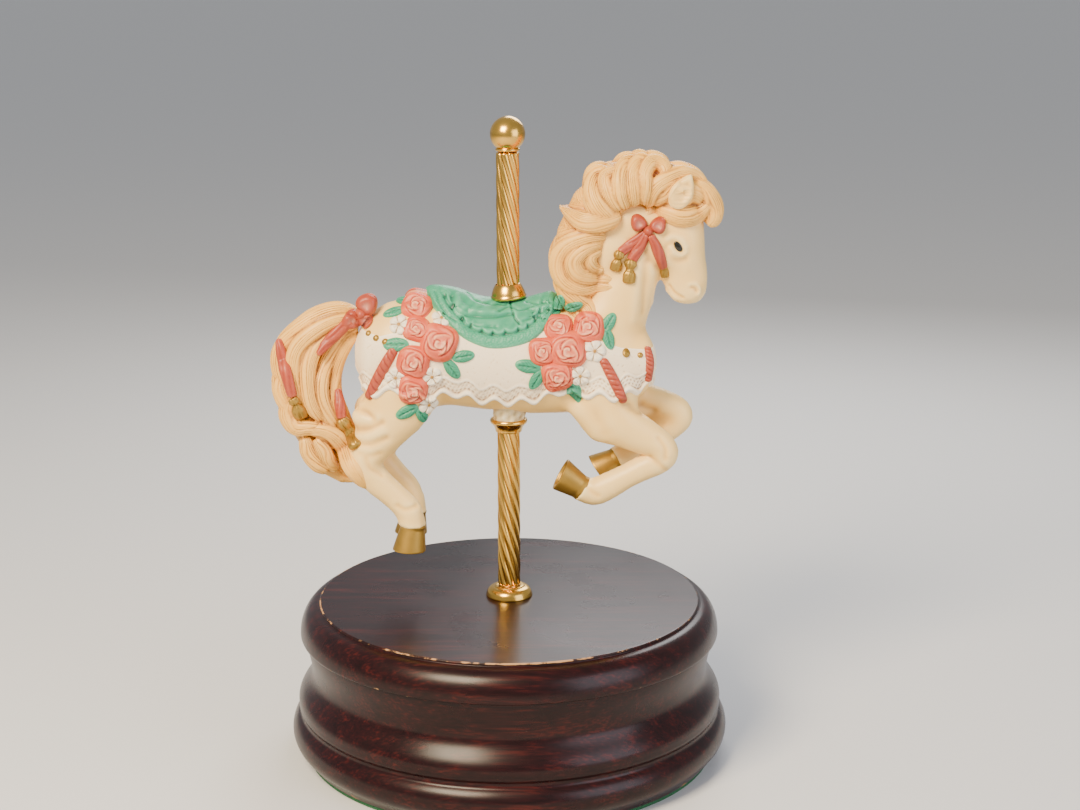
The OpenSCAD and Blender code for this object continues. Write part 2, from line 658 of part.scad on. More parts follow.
module twisted_tube(z0, z1) {
  h = z1 - z0;
  translate([0, 0, z0])
    linear_extrude(h, twist = 360 * h / flute_lead, slices = round(h / 2.4))
      difference() {
        polygon([for (i = [0:flutes * flute_steps - 1])
          let (a = 360 * i / (flutes * flute_steps))
          (pole_r - flute_depth * (1 - cos(flutes * a)) / 2) * [cos(a), sin(a)]]);
        circle(r = rod_r + rod_fit, $fn = 20);
      }
}

module lower_pole() color(brass) twisted_tube(pole_z, belly_z);

module upper_pole() color(brass) twisted_tube(seat_z, neck_z);

module belly_collar() color(brass) rotate_extrude()
  polygon([[pole_r + rod_fit, collar_z], [pole_r + 0.5, collar_z], [collar_r, belly_z - 0.8], [collar_r, belly_z],
    [pole_r + rod_fit, belly_z]]);

module belly_filler() color(lace_white) difference() {
  translate([0, 0, belly_z]) cylinder(r = collar_r - 0.4, h = filler_top - belly_z);
  cylinder(r = rod_r + rod_fit, h = seat_z);
}

module top_ferrule() color(brass) rotate_extrude()
  polygon(concat(
    [[pole_r + rod_fit, seat_z], [ferrule_r, seat_z], [ferrule_r, seat_z + 1.4]],
    arc(pole_r + rod_fit, seat_z + 1.4, ferrule_r - pole_r - rod_fit, ferrule_h - 1.4, 0, 80, 8),
    [[pole_r + rod_fit, seat_z + ferrule_h]]
  ));

module finial() color(brass) difference() {
  union() {
    translate([0, 0, ball_z]) sphere(r = ball_r);
    translate([0, 0, neck_z]) cylinder(r = pole_r - 0.5, h = 2);
    translate([0, 0, neck_z + 0.2]) rotate_extrude() translate([pole_r - 0.4, 0.5]) circle(r = 0.5);
  }
  translate([0, 0, neck_z - 1]) cylinder(r = rod_r, h = ball_z - neck_z - 1.4);
}

// ---- the horse ----

module rod_passage() {
  cylinder(r = rod_r + rod_fit, h = base_h * 4);
  translate([0, 0, filler_top - 8]) cylinder(r = collar_r - 0.4, h = 8);
}

module horse_solid() {
  torso();
  limb(neck_rows);
  limb(head_rows);
  both_flanks() limb(ear_rows, 3.4);
  limb(near_fore, -leg_y);
  limb(far_fore, leg_y);
  limb(near_hind, -leg_y);
  limb(far_hind, leg_y);
}

module horse_casting() color(bisque) difference() {
  horse_solid();
  rod_passage();
  hooves_solid();
}

leg_sides = [-1, 1, -1, 1];

module hooves_solid() {
  for (i = [0:len(hoof_rows) - 1])
    limb(hoof_rows[i], leg_sides[i] * leg_y);
}

module hooves() color(gold) hooves_solid();

module eyes() color("black")
  both_flanks() translate([48.6, 5.1, 150.6]) sphere(r = 1.3, $fn = 24);

module mane() color(tan) difference() {
  limb(mane_rows);
  limb(neck_rows);
  limb(head_rows);
  torso();
  both_flanks() limb(ear_rows, 3.4);
}

module tail() color(tan) difference() {
  limb(tail_rows);
  torso();
}

module saddle_block() {
  hull() {
    translate([-24, -30, 134]) cube([36, 60, 6]);
    translate([-12, -30, 122]) cube([19, 60, 1]);
  }
}

module saddle() color(jade) difference() {
  intersection() {
    torso(saddle_t);
    saddle_block();
  }
  torso();
  rod_passage();
  translate([0, 0, seat_z]) cylinder(r = ferrule_r + rod_fit, h = 4);
}

module lace_blanket() color(lace_white) difference() {
  intersection() {
    torso(lace_t);
    hull() {
      translate([-36, -30, 127]) cube([72, 60, 1]);
      translate([-30, -30, 105]) cube([56, 60, 1]);
    }
  }
  torso();
  saddle_block();
  limb(neck_rows);
  for (rows = [near_fore, far_fore, near_hind, far_hind])
    both_flanks() limb(rows, leg_y);
}

module roses() color(coral)
  both_flanks() for (f = rose_rows)
    translate([f[0], flank(f[0], f[1]) + f[2] * 0.25, f[1]]) sphere(r = f[2] * 0.85, $fn = 24);

module daisies() color(lace_white)
  both_flanks() for (f = daisy_rows)
    translate([f[0], flank(f[0], f[1]) + 0.4, f[1]]) rotate([90, 0, 0]) cylinder(r = f[2], h = 3, center = true);

module leaves() color(jade)
  both_flanks() for (f = leaf_rows)
    translate([f[0], flank(f[0], f[1]) + 0.6, f[1]]) rotate([90, 0, 0]) cylinder(r = f[2] * 0.7, h = 2.4, center = true);

strap_r = 1.5;

module ribbon_straps() color(coral)
  both_flanks() for (points = strap_rows)
    bead_chain([for (p = points) [p[0], flank(p[0], p[1]), p[1], strap_r]]);

module bows() color(coral) {
  for (points = concat([tail_bow], tail_ends, [head_bow], head_ends))
    bead_chain(points);
}

module tassels() color(gold)
  for (points = tassel_rows)
    bead_chain(points);

module studs() color(gold)
  both_flanks() for (s = stud_rows)
    translate([s[0], flank(s[0], s[1]) + 0.3, s[1]]) sphere(r = s[2], $fn = 16);

base_shell();
bottom_board();
board_screws();
felt_ring();
pole_bush();
bedplate();
bedplate_screws();
comb();
comb_screws();
cylinder_bearings();
bearing_screws();
governor_frame();
governor_screw();
clutch_spring();
winding_key();
winding_arbor();
spring_barrel();
barrel_cover();
mainspring();
crown_wheel();
drive_sleeve();
core_rod();
lower_pole();
upper_pole();
belly_collar();
belly_filler();
top_ferrule();
finial();
horse_casting();
hooves();
eyes();
mane();
tail();
saddle();
lace_blanket();
roses();
daisies();
leaves();
ribbon_straps();
bows();
tassels();
studs();
music_cylinder();
cylinder_pins();
cylinder_arbor();
cylinder_pinion();
great_wheel();
governor_pinion();
worm_wheel();
governor_worm();
air_brake_fly();
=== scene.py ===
"""Carousel horse music box: the looks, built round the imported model.

A bisque horse with fired colours and gold on a twisted brass pole, over a turned and stained wooden
base. Sizes in the classes are millimetres in the model's frame: the pole is the Z axis, the horse
faces +X, and the side that faces the viewer is -Y.
"""

from __future__ import annotations

import json
import logging
import math
from collections.abc import Callable, Sequence
from dataclasses import dataclass
from enum import Enum

import bmesh
import bpy
import numpy as np
from mathutils.bvhtree import BVHTree
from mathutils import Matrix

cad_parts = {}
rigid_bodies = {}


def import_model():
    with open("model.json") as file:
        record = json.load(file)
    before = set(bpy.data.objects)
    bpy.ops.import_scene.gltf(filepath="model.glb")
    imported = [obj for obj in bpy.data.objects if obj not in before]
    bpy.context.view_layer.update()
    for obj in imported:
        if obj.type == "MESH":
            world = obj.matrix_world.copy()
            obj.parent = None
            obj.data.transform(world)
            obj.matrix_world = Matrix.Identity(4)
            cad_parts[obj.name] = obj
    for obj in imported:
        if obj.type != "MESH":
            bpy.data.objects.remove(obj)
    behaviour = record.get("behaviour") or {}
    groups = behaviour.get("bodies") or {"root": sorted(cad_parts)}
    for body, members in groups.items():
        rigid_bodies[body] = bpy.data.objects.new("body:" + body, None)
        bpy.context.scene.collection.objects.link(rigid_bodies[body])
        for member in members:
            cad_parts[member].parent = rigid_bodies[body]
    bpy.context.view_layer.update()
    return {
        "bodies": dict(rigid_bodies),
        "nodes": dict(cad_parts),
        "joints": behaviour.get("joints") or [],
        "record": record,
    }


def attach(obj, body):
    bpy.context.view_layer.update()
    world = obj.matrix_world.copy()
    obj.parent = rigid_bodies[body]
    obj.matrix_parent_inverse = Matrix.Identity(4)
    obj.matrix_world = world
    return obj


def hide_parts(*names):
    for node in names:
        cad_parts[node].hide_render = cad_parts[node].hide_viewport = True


MM = 0.001
LOG = logging.getLogger("music_box")
Array = np.ndarray
Place = Callable[[Array, Array], Array]
Socket = bpy.types.NodeSocket
Colour = Sequence[float] | Socket
# how far each leg's middle line lies to its side, in millimetres
LEG_Y = 7.0


class Side(Enum):
    """The two sides of the horse."""

    NEAR = -1
    FAR = 1


# ---- colour and nodes ----


def linear(hex_colour: str) -> tuple[float, float, float, float]:
    """Turns an sRGB hex colour to linear RGBA.

    Args:
        hex_colour: six hex digits with a leading hash.

    Returns:
        The linear colour with an alpha of one.
    """
    parts = [int(hex_colour[i : i + 2], 16) / 255 for i in (1, 3, 5)]
    return (*[c / 12.92 if c <= 0.04045 else ((c + 0.055) / 1.055) ** 2.4 for c in parts], 1.0)


def put(
    tree: bpy.types.NodeTree, kind: str, inputs: dict | None = None, **settings: object
) -> bpy.types.Node:
    """Adds a node with its settings, values and links.

    Args:
        tree: the node tree.
        kind: the node's type name without its ShaderNode prefix.
        inputs: socket name or index to a value, or to an output socket to link from.
        settings: the node's own properties; stops gives a colour ramp as (position, hex) pairs.

    Returns:
        The new node.
    """
    node = tree.nodes.new("ShaderNode" + kind)
    stops = settings.pop("stops", None)
    for name, value in settings.items():
        setattr(node, name, value)
    if stops:
        elements = node.color_ramp.elements
        while len(elements) < len(stops):
            elements.new(0.5)
        for element, (position, colour) in zip(elements, stops):
            element.position = position
            element.color = linear(colour)
    connect(tree, node, inputs or {})
    return node


def connect(tree: bpy.types.NodeTree, node: bpy.types.Node, inputs: dict) -> None:
    """Links a node's inputs to sockets, or sets them to values.

    Args:
        tree: the node tree.
        node: the node.
        inputs: socket name or index to a value, or to an output socket to link from.
    """
    for key, value in inputs.items():
        if isinstance(value, Socket):
            tree.links.new(value, node.inputs[key])
        else:
            node.inputs[key].default_value = value


def per_mm(size: float) -> float:
    """Gives the texture scale at which a pattern repeats about every size millimetres."""
    return 1.0 / (size * MM)


def read(tree: bpy.types.NodeTree, name: str) -> Socket:
    """Reads one of the mesh's attributes."""
    return put(tree, "Attribute", attribute_name=name).outputs["Fac"]


def maths(tree: bpy.types.NodeTree, operation: str, *values: float | Socket) -> Socket:
    """Does one sum with sockets and numbers."""
    return put(tree, "Math", dict(enumerate(values)), operation=operation).outputs[0]


def noise(tree: bpy.types.NodeTree, where: Socket, size: float, detail: float, **more: float) -> Socket:
    """Makes a cloudy noise whose patches are about size millimetres across."""
    inputs = {"Vector": where, "Scale": per_mm(size), "Detail": detail, **more}
    return put(tree, "TexNoise", inputs).outputs["Fac"]


def remap(
    tree: bpy.types.NodeTree, value: Socket, start: float, end: float, low: float = 0.0, high: float = 1.0
) -> Socket:
    """Maps start..end onto low..high and clamps it there."""
    return put(tree, "MapRange", {0: value, 1: start, 2: end, 3: low, 4: high}).outputs[0]


def blend(tree: bpy.types.NodeTree, share: Socket, first: Colour, second: Colour) -> Socket:
    """Mixes two colours by a share."""
    return put(tree, "Mix", {0: share, 6: first, 7: second}, data_type="RGBA").outputs[2]


@dataclass(frozen=True)
class Finish:
    """A named finish that makes its material once."""

    name: str

    def material(self) -> bpy.types.Material:
        """Gives the material, made on first use."""
        made = bpy.data.materials.get(self.name)
        if made is None:
            made = bpy.data.materials.new(self.name)
            made.use_nodes = True
            tree = made.node_tree
            tree.nodes.clear()
            shader = put(tree, "BsdfPrincipled")
            put(tree, "OutputMaterial", {"Surface": shader.outputs[0]})
            self.lay(tree, shader)
        return made

    def lay(self, tree: bpy.types.NodeTree, shader: bpy.types.Node) -> None:
        """Lays the finish's nodes into the shader."""
        raise NotImplementedError


@dataclass(frozen=True)
class FiredColour(Finish):
    """Porcelain paint fired on cast bisque: a satin skin with painted shade in the hollows of the
    casting, a painted highlight on its ridges, and faint brush mottling."""

    base: str = "#F0E3C8"
    # the hollow colour is painted shade and the ridge colour a painted highlight, both laid by the relief
    hollow: str = "#C9A878"
    ridge: str = "#FAF1DE"
    heart: str = "#B9965A"
    rough: float = 0.42
    mottle: float = 5.0
    grain: float = 0.12
    bump: float = 0.25

    def lay(self, tree: bpy.types.NodeTree, shader: bpy.types.Node) -> None:
        """Colours by the casting's relief, as painted shade in the hollows and a painted highlight on the
        ridges, with mottling and a fine grain.
        """
        where = put(tree, "TexCoord").outputs["Object"]
        cloud = noise(tree, where, self.mottle, 4.0)
        shift = maths(tree, "MULTIPLY_ADD", cloud, 0.22, -0.11)
        wave = maths(tree, "PINGPONG", read(tree, "strand"), 0.5)
        torn = remap(tree, noise(tree, where, 5.0, 3.0), 0.42, 0.62, 0.3)
        cut = maths(tree, "MULTIPLY", remap(tree, wave, 0.32, 0.5), torn)
        # the hair's strand grooves shift the colour down: painted shade between the strands
        shade = maths(tree, "MULTIPLY_ADD", cut, -0.3, shift)
        height = maths(tree, "ADD", read(tree, "relief"), shade)
        # painted shade in the hollows, the fired colour, and a painted highlight on the ridges
        stops = [(0.12, self.hollow), (0.5, self.base), (0.9, self.ridge)]
        tone = put(tree, "ValToRGB", {0: height}, stops=stops).outputs[0]
        inputs = {"Strength": 0.7, "Distance": 0.3 * MM, "Height": cut}
        groove = put(tree, "Bump", inputs, invert=True).outputs[0]
        # the satin glaze's fine grain, half a millimetre wide
        grit = noise(tree, where, 0.5, 3.0)
        inputs = {"Strength": self.bump, "Distance": self.grain * MM, "Height": grit, "Normal": groove}
        colour = blend(tree, read(tree, "heart"), tone, linear(self.heart))
        rough = remap(tree, cloud, 0.0, 1.0, self.rough - 0.06, self.rough + 0.08)
        bump = put(tree, "Bump", inputs).outputs[0]
        connect(tree, shader, {"Base Color": colour, "Roughness": rough, "Normal": bump, "IOR": 1.5})


@dataclass(frozen=True)
class Metal(Finish):
    """A bare or lacquered metal: coloured by how it reflects, with tool marks or tarnish."""

    base: str = "#D9B25A"
    dull: str = "#8A5A1E"
    rough: float = 0.22
    spread: float = 0.12
    mark: float = 1.2
    stretch: tuple[float, float, float] = (1.0, 1.0, 1.0)
    relief: bool = False
    metallic: float = 1.0
    bump: float = 0.15

    def lay(self, tree: bpy.types.NodeTree, shader: bpy.types.Node) -> None:
        """Mixes clean and dull metal by marks, and by relief where the piece has it."""
        where = put(tree, "TexCoord").outputs["Object"]
        turned = put(tree, "Mapping", {"Vector": where, "Scale": self.stretch}).outputs[0]
        marks = noise(tree, turned, self.mark, 5.0)
        dulled = remap(tree, noise(tree, where, 9.0, 3.0), 0.45, 0.75, 0.0, 0.35)
        if self.relief:
            dulled = maths(tree, "MAXIMUM", dulled, remap(tree, read(tree, "relief"), 0.46, 0.2))
        inputs = {"Strength": self.bump, "Distance": 0.03 * MM, "Height": marks}
        look = {
            "Base Color": blend(tree, dulled, linear(self.base), linear(self.dull)),
            "Roughness": remap(tree, marks, 0.0, 1.0, self.rough, self.rough + self.spread),
            "Normal": put(tree, "Bump", inputs).outputs[0],
            "Metallic": self.metallic,
        }
        connect(tree, shader, look)


@dataclass(frozen=True)
class StainedWood(Finish):
    """Turned hardwood with mahogany stain under satin lacquer: near black with a red glow in the
    grain, and pale bare wood where the lacquer has rubbed or chipped off the edges, which is also laid
    round the convex mouldings as a painted highlight."""

    dark: str = "#140505"
    brown: str = "#22090A"
    red: str = "#43140F"
    worn_and_highlight: str = "#C29468"
    dust: str = "#A89C90"
    rough: float = 0.26

    def lay(self, tree: bpy.types.NodeTree, shader: bpy.types.Node) -> None:
        """Streaks the grain along X and lightens the edges and convex mouldings by the wear attribute: rubbed
        lacquer and a painted highlight.
        """
        where = put(tree, "TexCoord").outputs["Object"]
        # grain lines 2.8 mm apart run along X, and the pores between them are 0.6 mm wide
        along = put(tree, "Mapping", {"Vector": where, "Scale": (0.06, 1.0, 1.0)}).outputs[0]
        grain = noise(tree, along, 2.8, 6.0, Distortion=0.6)
        depth = maths(tree, "MULTIPLY", grain, noise(tree, along, 0.6, 2.0))
        stops = [(0.12, self.dark), (0.28, self.brown), (0.48, self.red)]
        tone = put(tree, "ValToRGB", {0: depth}, stops=stops).outputs[0]
        share = remap(tree, noise(tree, where, 34.0, 2.0), 0.36, 0.64, 0.78, 1.12)
        local = maths(tree, "MULTIPLY", noise(tree, where, 4.2, 8.0, Roughness=0.7), share)
        # pale bare wood on the edges and the convex mouldings: rubbed lacquer, and a painted highlight
        bare = remap(tree, maths(tree, "MULTIPLY", local, read(tree, "wear")), 0.53, 0.6, 0.0, 0.85)
        rubbed = blend(tree, bare, tone, linear(self.worn_and_highlight))
        # a few dust specks, each about half a millimetre across
        specks = put(tree, "TexVoronoi", {"Vector": where, "Scale": per_mm(4.5)}).outputs
        pick = maths(tree, "GREATER_THAN", specks["Color"], 0.95)
        both = maths(tree, "MULTIPLY", remap(tree, specks["Distance"], 0.08, 0.055), pick)
        smear = noise(tree, where, 14.0, 3.0)
        rough = remap(tree, smear, 0.0, 1.0, self.rough - 0.05, self.rough + 0.1)
        inputs = {"Strength": 0.08, "Distance": 0.03 * MM, "Height": grain}
        look = {
            "Base Color": blend(tree, maths(tree, "MULTIPLY", both, 0.35), rubbed, linear(self.dust)),
            "Roughness": put(tree, "Mix", {0: bare, 2: rough, 3: 0.75}).outputs[0],
            "Normal": put(tree, "Bump", inputs).outputs[0],
            "IOR": 1.33,
        }
        connect(tree, shader, look)


@dataclass(frozen=True)
class Fibres(Finish):
    """Felt or bare plywood: dull, with fibres or plies that break up the colour."""

    base: str = "#1F4A2E"
    other: str = "#2E6B44"
    size: float = 0.8
    stretch: tuple[float, float, float] = (1.0, 1.0, 1.0)
    rough: float = 0.95

    def lay(self, tree: bpy.types.NodeTree, shader: bpy.types.Node) -> None:
        """Mixes two tones by a stretched noise."""
        where = put(tree, "TexCoord").outputs["Object"]
        laid = put(tree, "Mapping", {"Vector": where, "Scale": self.stretch}).outputs[0]
        fibres = noise(tree, laid, self.size, 5.0)
        stops = [(0.3, self.base), (0.7, self.other)]
        tone = put(tree, "ValToRGB", {0: fibres}, stops=stops).outputs[0]
        bump = put(tree, "Bump", {"Strength": 0.5, "Distance": 0.1 * MM, "Height": fibres}).outputs[0]
        connect(tree, shader, {"Base Color": tone, "Normal": bump, "Roughness": self.rough})


# bisque body colour: warm cream, satin, with painted shade a little browner in the creases
BISQUE = FiredColour("fired_cream_on_bisque", "#FACD76", "#B07E40", "#FFE39E", rough=0.4, mottle=9.0)
# hair: tan, with painted shade dark between the strands and in the hollows
HAIR = FiredColour("fired_tan_on_hair_with_painted_shade", "#EFAE44", "#8C4E20", "#FCCE74", rough=0.46, mottle=7.0)
# saddle cloth and leaves: jade, with painted shade dark green in every fold
JADE = FiredColour("fired_jade_on_bisque", "#2F8F6A", "#0A4A37", "#62B48E", rough=0.42, mottle=3.5)
# the blanket is left nearly white and matt; its netting reads by shadow and by painted shade in its pits
LACE = FiredColour(
    "bare_white_bisque_lace", "#F8E2BC", "#B4906E", "#FFF3D8", rough=0.55, mottle=6.0, bump=0.5
)
# roses: coral with the petal lips brushed pale
ROSE = FiredColour("fired_coral_on_roses", "#D65636", "#96281A", "#EC9468", "#F6C098", rough=0.42, mottle=4.0)
# ribbons: a browner coral with paler middles
RIBBON = FiredColour(
    "fired_coral_on_ribbons", "#9C3A24", "#5C180E", "#BE5E42", "#E8AA90", rough=0.42, mottle=2.5
)
# daisies: left ivory, brighter than the blanket, with a gold dot
DAISY = FiredColour(
    "fired_ivory_on_daisies", "#F6EBD0", "#A8835C", "#FFF8E6", "#A87A2E", rough=0.45, mottle=4.0
)
# gold paint over bisque: half metallic, brown in the notches
GOLD = Metal(
    "fired_gold_on_bisque", "#AE8A3E", "#4A340E", 0.36, 0.18, 1.6, relief=True, metallic=0.85, bump=0.3
)
# bright plated brass: clear warm reflections with brown tarnish in the flutes
BRASS = Metal("polished_plated_brass", "#E3B455", "#84521A", 0.17, 0.12, 2.2, relief=True)
MACHINED_BRASS = Metal("machined_brass", "#CFA95B", "#9A7434", 0.28, 0.14, 0.5, (1.0, 1.0, 6.0))
STEEL = Metal("turned_steel", "#B9BBBD", "#7C7E80", 0.28, 0.14, 0.5, (1.0, 1.0, 6.0))
SPRING_STEEL = Metal("blued_spring_steel", "#6F7C90", "#3A4252", 0.3, 0.12, 0.6)
ZINC = Metal("cast_zinc", "#9A9A94", "#74746E", 0.46, 0.16, 1.1, bump=0.5)
ALUMINIUM = Metal("rolled_aluminium_sheet", "#CDCFD1", "#9FA2A5", 0.3, 0.1, 0.7, (6.0, 1.0, 1.0))
WOOD = StainedWood("mahogany_stained_hardwood")
PLY = Fibres("bare_birch_plywood", "#A98455", "#C9A776", 1.2, (0.08, 1.0, 1.0), 0.8)
FELT = Fibres("green_wool_felt", "#1F4A2E", "#2E6B44", 0.5)
ENAMEL = FiredColour("black_enamel", "#0B0B0C", "#050505", "#1A1A1C", rough=0.12, bump=0.0)
PLASTER = FiredColour("set_plaster", "#D2BE8E", "#6B5228", "#E8DDB8", rough=0.8, mottle=1.2, bump=0.8)

SLOT_FINISH: dict[str, Finish] = {
    "stained_wood": WOOD,
    "board_wood": PLY,
    "green_felt": FELT,
    "cast_zinc": ZINC,
    "steel": STEEL,
    "spring_steel": SPRING_STEEL,
    "machined_brass": MACHINED_BRASS,
    "polished_brass": BRASS,
    "aluminium_sheet": ALUMINIUM,
    "plaster": PLASTER,
    "bisque_cream": BISQUE,
    "gold_lustre": GOLD,
    "black_enamel": ENAMEL,
    "tan_hair_glaze": HAIR,
    "jade_glaze": JADE,
    "white_lace_glaze": LACE,
    "coral_rose_glaze": ROSE,
    "coral_ribbon_glaze": RIBBON,
}


# ---- shapes ----


def smooth_path(points: Sequence[Sequence[float]], count: int) -> Array:
    """Samples a smooth curve through rows of numbers.

    Args:
        points: the rows; every column is smoothed alike.
        count: how many samples to take.

    Returns:
        The samples, one row each.
    """
    rows = np.asarray(points, float)
    rows = np.vstack([2 * rows[0] - rows[1], rows, 2 * rows[-1] - rows[-2]])
    last = len(points) - 1
    t = np.linspace(0, last, count)
    i = np.minimum(t.astype(int), last - 1)
    f = (t - i)[:, None]
    a, b, c, d = rows[i], rows[i + 1], rows[i + 2], rows[i + 3]
    return 0.5 * (2 * b + (c - a) * f + (2 * a - 5 * b + 4 * c - d) * f**2 + (3 * b - a - 3 * c + d) * f**3)


def sampled(rows: Array, v: Array) -> Array:
    """Reads evenly spaced rows at places from zero to one."""
    at = np.linspace(0, 1, len(rows))
    return np.stack([np.interp(v, at, rows[:, k]) for k in range(rows.shape[1])], axis=1)


def unit(vectors: Array) -> Array:
    """Scales each row to length one."""
    return vectors / np.maximum(np.linalg.norm(vectors, axis=-1, keepdims=True), 1e-9)


def moved_grid(name: str, across: int, along: int, place: Place, **values: Place) -> bpy.types.Mesh:
    """Makes a grid and moves its points to a surface, closing seams and poles.

    Args:
        name: the mesh's name.
        across: faces in the first direction.
        along: faces in the second direction.
        place: gives millimetre points for the two directions, each from zero to one.
        values: attribute name to a function that gives its value at each point.

    Returns:
        The mesh, in metres.
    """
    work = bmesh.new()
    work.loops.layers.uv.new("UVMap")
    bmesh.ops.create_grid(work, x_segments=across, y_segments=along, size=0.5, calc_uvs=True)
    mesh = bpy.data.meshes.new(name)
    work.to_mesh(mesh)
    flat = np.empty(len(mesh.vertices) * 3)
    mesh.vertices.foreach_get("co", flat)
    flat = flat.reshape(-1, 3)
    u, v = flat[:, 0] + 0.5, flat[:, 1] + 0.5
    mesh.vertices.foreach_set("co", (place(u, v) * MM).ravel())
    for key, value in values.items():
        mesh.attributes.new(key, "FLOAT", "POINT").data.foreach_set("value", value(u, v))
    work.clear()
    work.from_mesh(mesh)
    bmesh.ops.remove_doubles(work, verts=work.verts, dist=0.004 * MM)
    bmesh.ops.recalc_face_normals(work, faces=work.faces)
    work.to_mesh(mesh)
    work.free()
    mesh.shade_smooth()
    return mesh


def points_of(mesh: bpy.types.Mesh) -> Array:
    """Gives a mesh's points in millimetres."""
    flat = np.empty(len(mesh.vertices) * 3)
    mesh.vertices.foreach_get("co", flat)
    return flat.reshape(-1, 3) / MM


def normals_of(mesh: bpy.types.Mesh) -> Array:
    """Gives a mesh's point normals."""
    flat = np.empty(len(mesh.vertices) * 3)
    mesh.vertex_normals.foreach_get("vector", flat)
    return flat.reshape(-1, 3)


def set_points(mesh: bpy.types.Mesh, points: Array) -> None:
    """Moves a mesh's points to places in millimetres."""
    mesh.vertices.foreach_set("co", (points * MM).ravel())
    mesh.update()


def joined(name: str, meshes: Sequence[bpy.types.Mesh]) -> bpy.types.Mesh:
    """Joins meshes into one, with their doubles merged."""
    work = bmesh.new()
    for mesh in meshes:
        work.from_mesh(mesh)
    bmesh.ops.remove_doubles(work, verts=work.verts, dist=0.002 * MM)
    made = bpy.data.meshes.new(name)
    work.to_mesh(made)
    work.free()
    made.shade_smooth()
    return made


def modified(mesh: bpy.types.Mesh, *steps: tuple[str, dict]) -> bpy.types.Mesh:
    """Runs a mesh through modifiers and gives the result as a new mesh.

    Args:
        mesh: the mesh to start from.
        steps: modifier type with its settings.

    Returns:
        The new mesh, under the first one's name.
    """
    carrier = bpy.data.objects.new(mesh.name, mesh)
    bpy.context.scene.collection.objects.link(carrier)
    for kind, settings in steps:
        step = carrier.modifiers.new(kind, kind)
        for key, value in settings.items():
            setattr(step, key, value)
    graph = bpy.context.evaluated_depsgraph_get()
    made = bpy.data.meshes.new_from_object(carrier.evaluated_get(graph))
    bpy.data.objects.remove(carrier)
    made.shade_smooth()
    return made


def fused(name: str, meshes: Sequence[bpy.types.Mesh], voxel: float, rounds: int) -> bpy.types.Mesh:
    """Fuses overlapping closed meshes into one skin, as a mould would.

    Args:
        name: the new mesh's name.
        meshes: the closed meshes.
        voxel: the skin's spacing in millimetres.
        rounds: how often the skin is smoothed.

    Returns:
        The skin.
    """
    return modified(
        joined(name, meshes),
        ("REMESH", {"mode": "VOXEL", "voxel_size": voxel * MM, "adaptivity": 0.0}),
        ("SMOOTH", {"factor": 0.5, "iterations": rounds}),
    )


def ring_mean(mesh: bpy.types.Mesh) -> Callable[[Array], Array]:
    """Gives a function that averages rows over each point's neighbours."""
    edges = np.empty(len(mesh.edges) * 2, np.int32)
    mesh.edges.foreach_get("vertices", edges)
    a, b = edges.reshape(-1, 2).T
    size = len(mesh.vertices)
    count = np.maximum(np.bincount(np.concatenate([a, b]), minlength=size), 1)

    def mean(rows: Array) -> Array:
        """Averages each column over the neighbours."""
        columns = [np.bincount(a, row[b], size) + np.bincount(b, row[a], size) for row in rows.T]
        return (np.stack(columns) / count).T

    return mean


def fair(mesh: bpy.types.Mesh, rounds: int) -> None:
    """Softens corners without thinning limbs, by smoothing and then swelling back.

    Args:
        mesh: the mesh to soften.
        rounds: how often.
    """
    mean = ring_mean(mesh)
    points = points_of(mesh)
    for _ in range(rounds):
        for pull in (0.6, -0.62):
            points = points + pull * (mean(points) - points)
    set_points(mesh, points)


def mark_relief(mesh: bpy.types.Mesh, reach: int, depth: float, level: float = 0.5) -> None:
    """Marks how far each point stands over or under the smoothed skin round it.

    Args:
        mesh: the mesh that gets the relief attribute.
        reach: how many rings of neighbours are smoothed over.
        depth: the height in millimetres that takes the value from a half to one.
        level: the value of a flat place.
    """
    mean = ring_mean(mesh)
    points = points_of(mesh)
    flat = points
    for _ in range(reach):
        flat = 0.5 * flat + 0.5 * mean(flat)
    height = ((points - flat) * normals_of(mesh)).sum(1)[:, None]
    height = 0.5 * height + 0.5 * mean(height)
    value = np.clip(level + 0.5 * height[:, 0] / depth, 0, 1)
    if "relief" in mesh.attributes:
        mesh.attributes.remove(mesh.attributes["relief"])
    mesh.attributes.new("relief", "FLOAT", "POINT").data.foreach_set("value", value)


Creases = Sequence[tuple[Sequence[tuple[float, float]], float, float]]


class Skin:
    """A mesh that ornaments are laid on."""

    def __init__(self, *meshes: bpy.types.Mesh) -> None:
        """Builds the search tree.

        Args:
            meshes: the meshes, in metres.
        """
        points: list[Array] = []
        faces: list[list[int]] = []
        start = 0
        for mesh in meshes:
            points.append(points_of(mesh))
            faces += [[start + i for i in face.vertices] for face in mesh.polygons]
            start += len(mesh.vertices)
        self.tree = BVHTree.FromPolygons(np.vstack(points).tolist(), faces)

    def hit(self, start: Array, way: Array) -> tuple[Array, Array, Array]:
        """Casts rays and gives where they land.

        Args:
            start: start points.
            way: directions.

        Returns:
            The points, the normals, and which rays landed.
        """
        place, normal = np.array(start, float), np.array(way, float) * -1
        landed = np.zeros(len(place), bool)
        for i in range(len(place)):
            found, out, _, _ = self.tree.ray_cast(start[i], way[i])
            if found is not None:
                place[i], normal[i], landed[i] = found, out, True
        return place, normal, landed

    def from_side(self, x: Array, z: Array, side: Side) -> tuple[Array, Array, Array]:
        """Casts from one side of the horse straight at its middle plane."""
        start = np.stack([x, np.full_like(x, 60.0 * side.value), z], axis=1)
        way = np.tile([0.0, -float(side.value), 0.0], (len(x), 1))
        return self.hit(start, way)


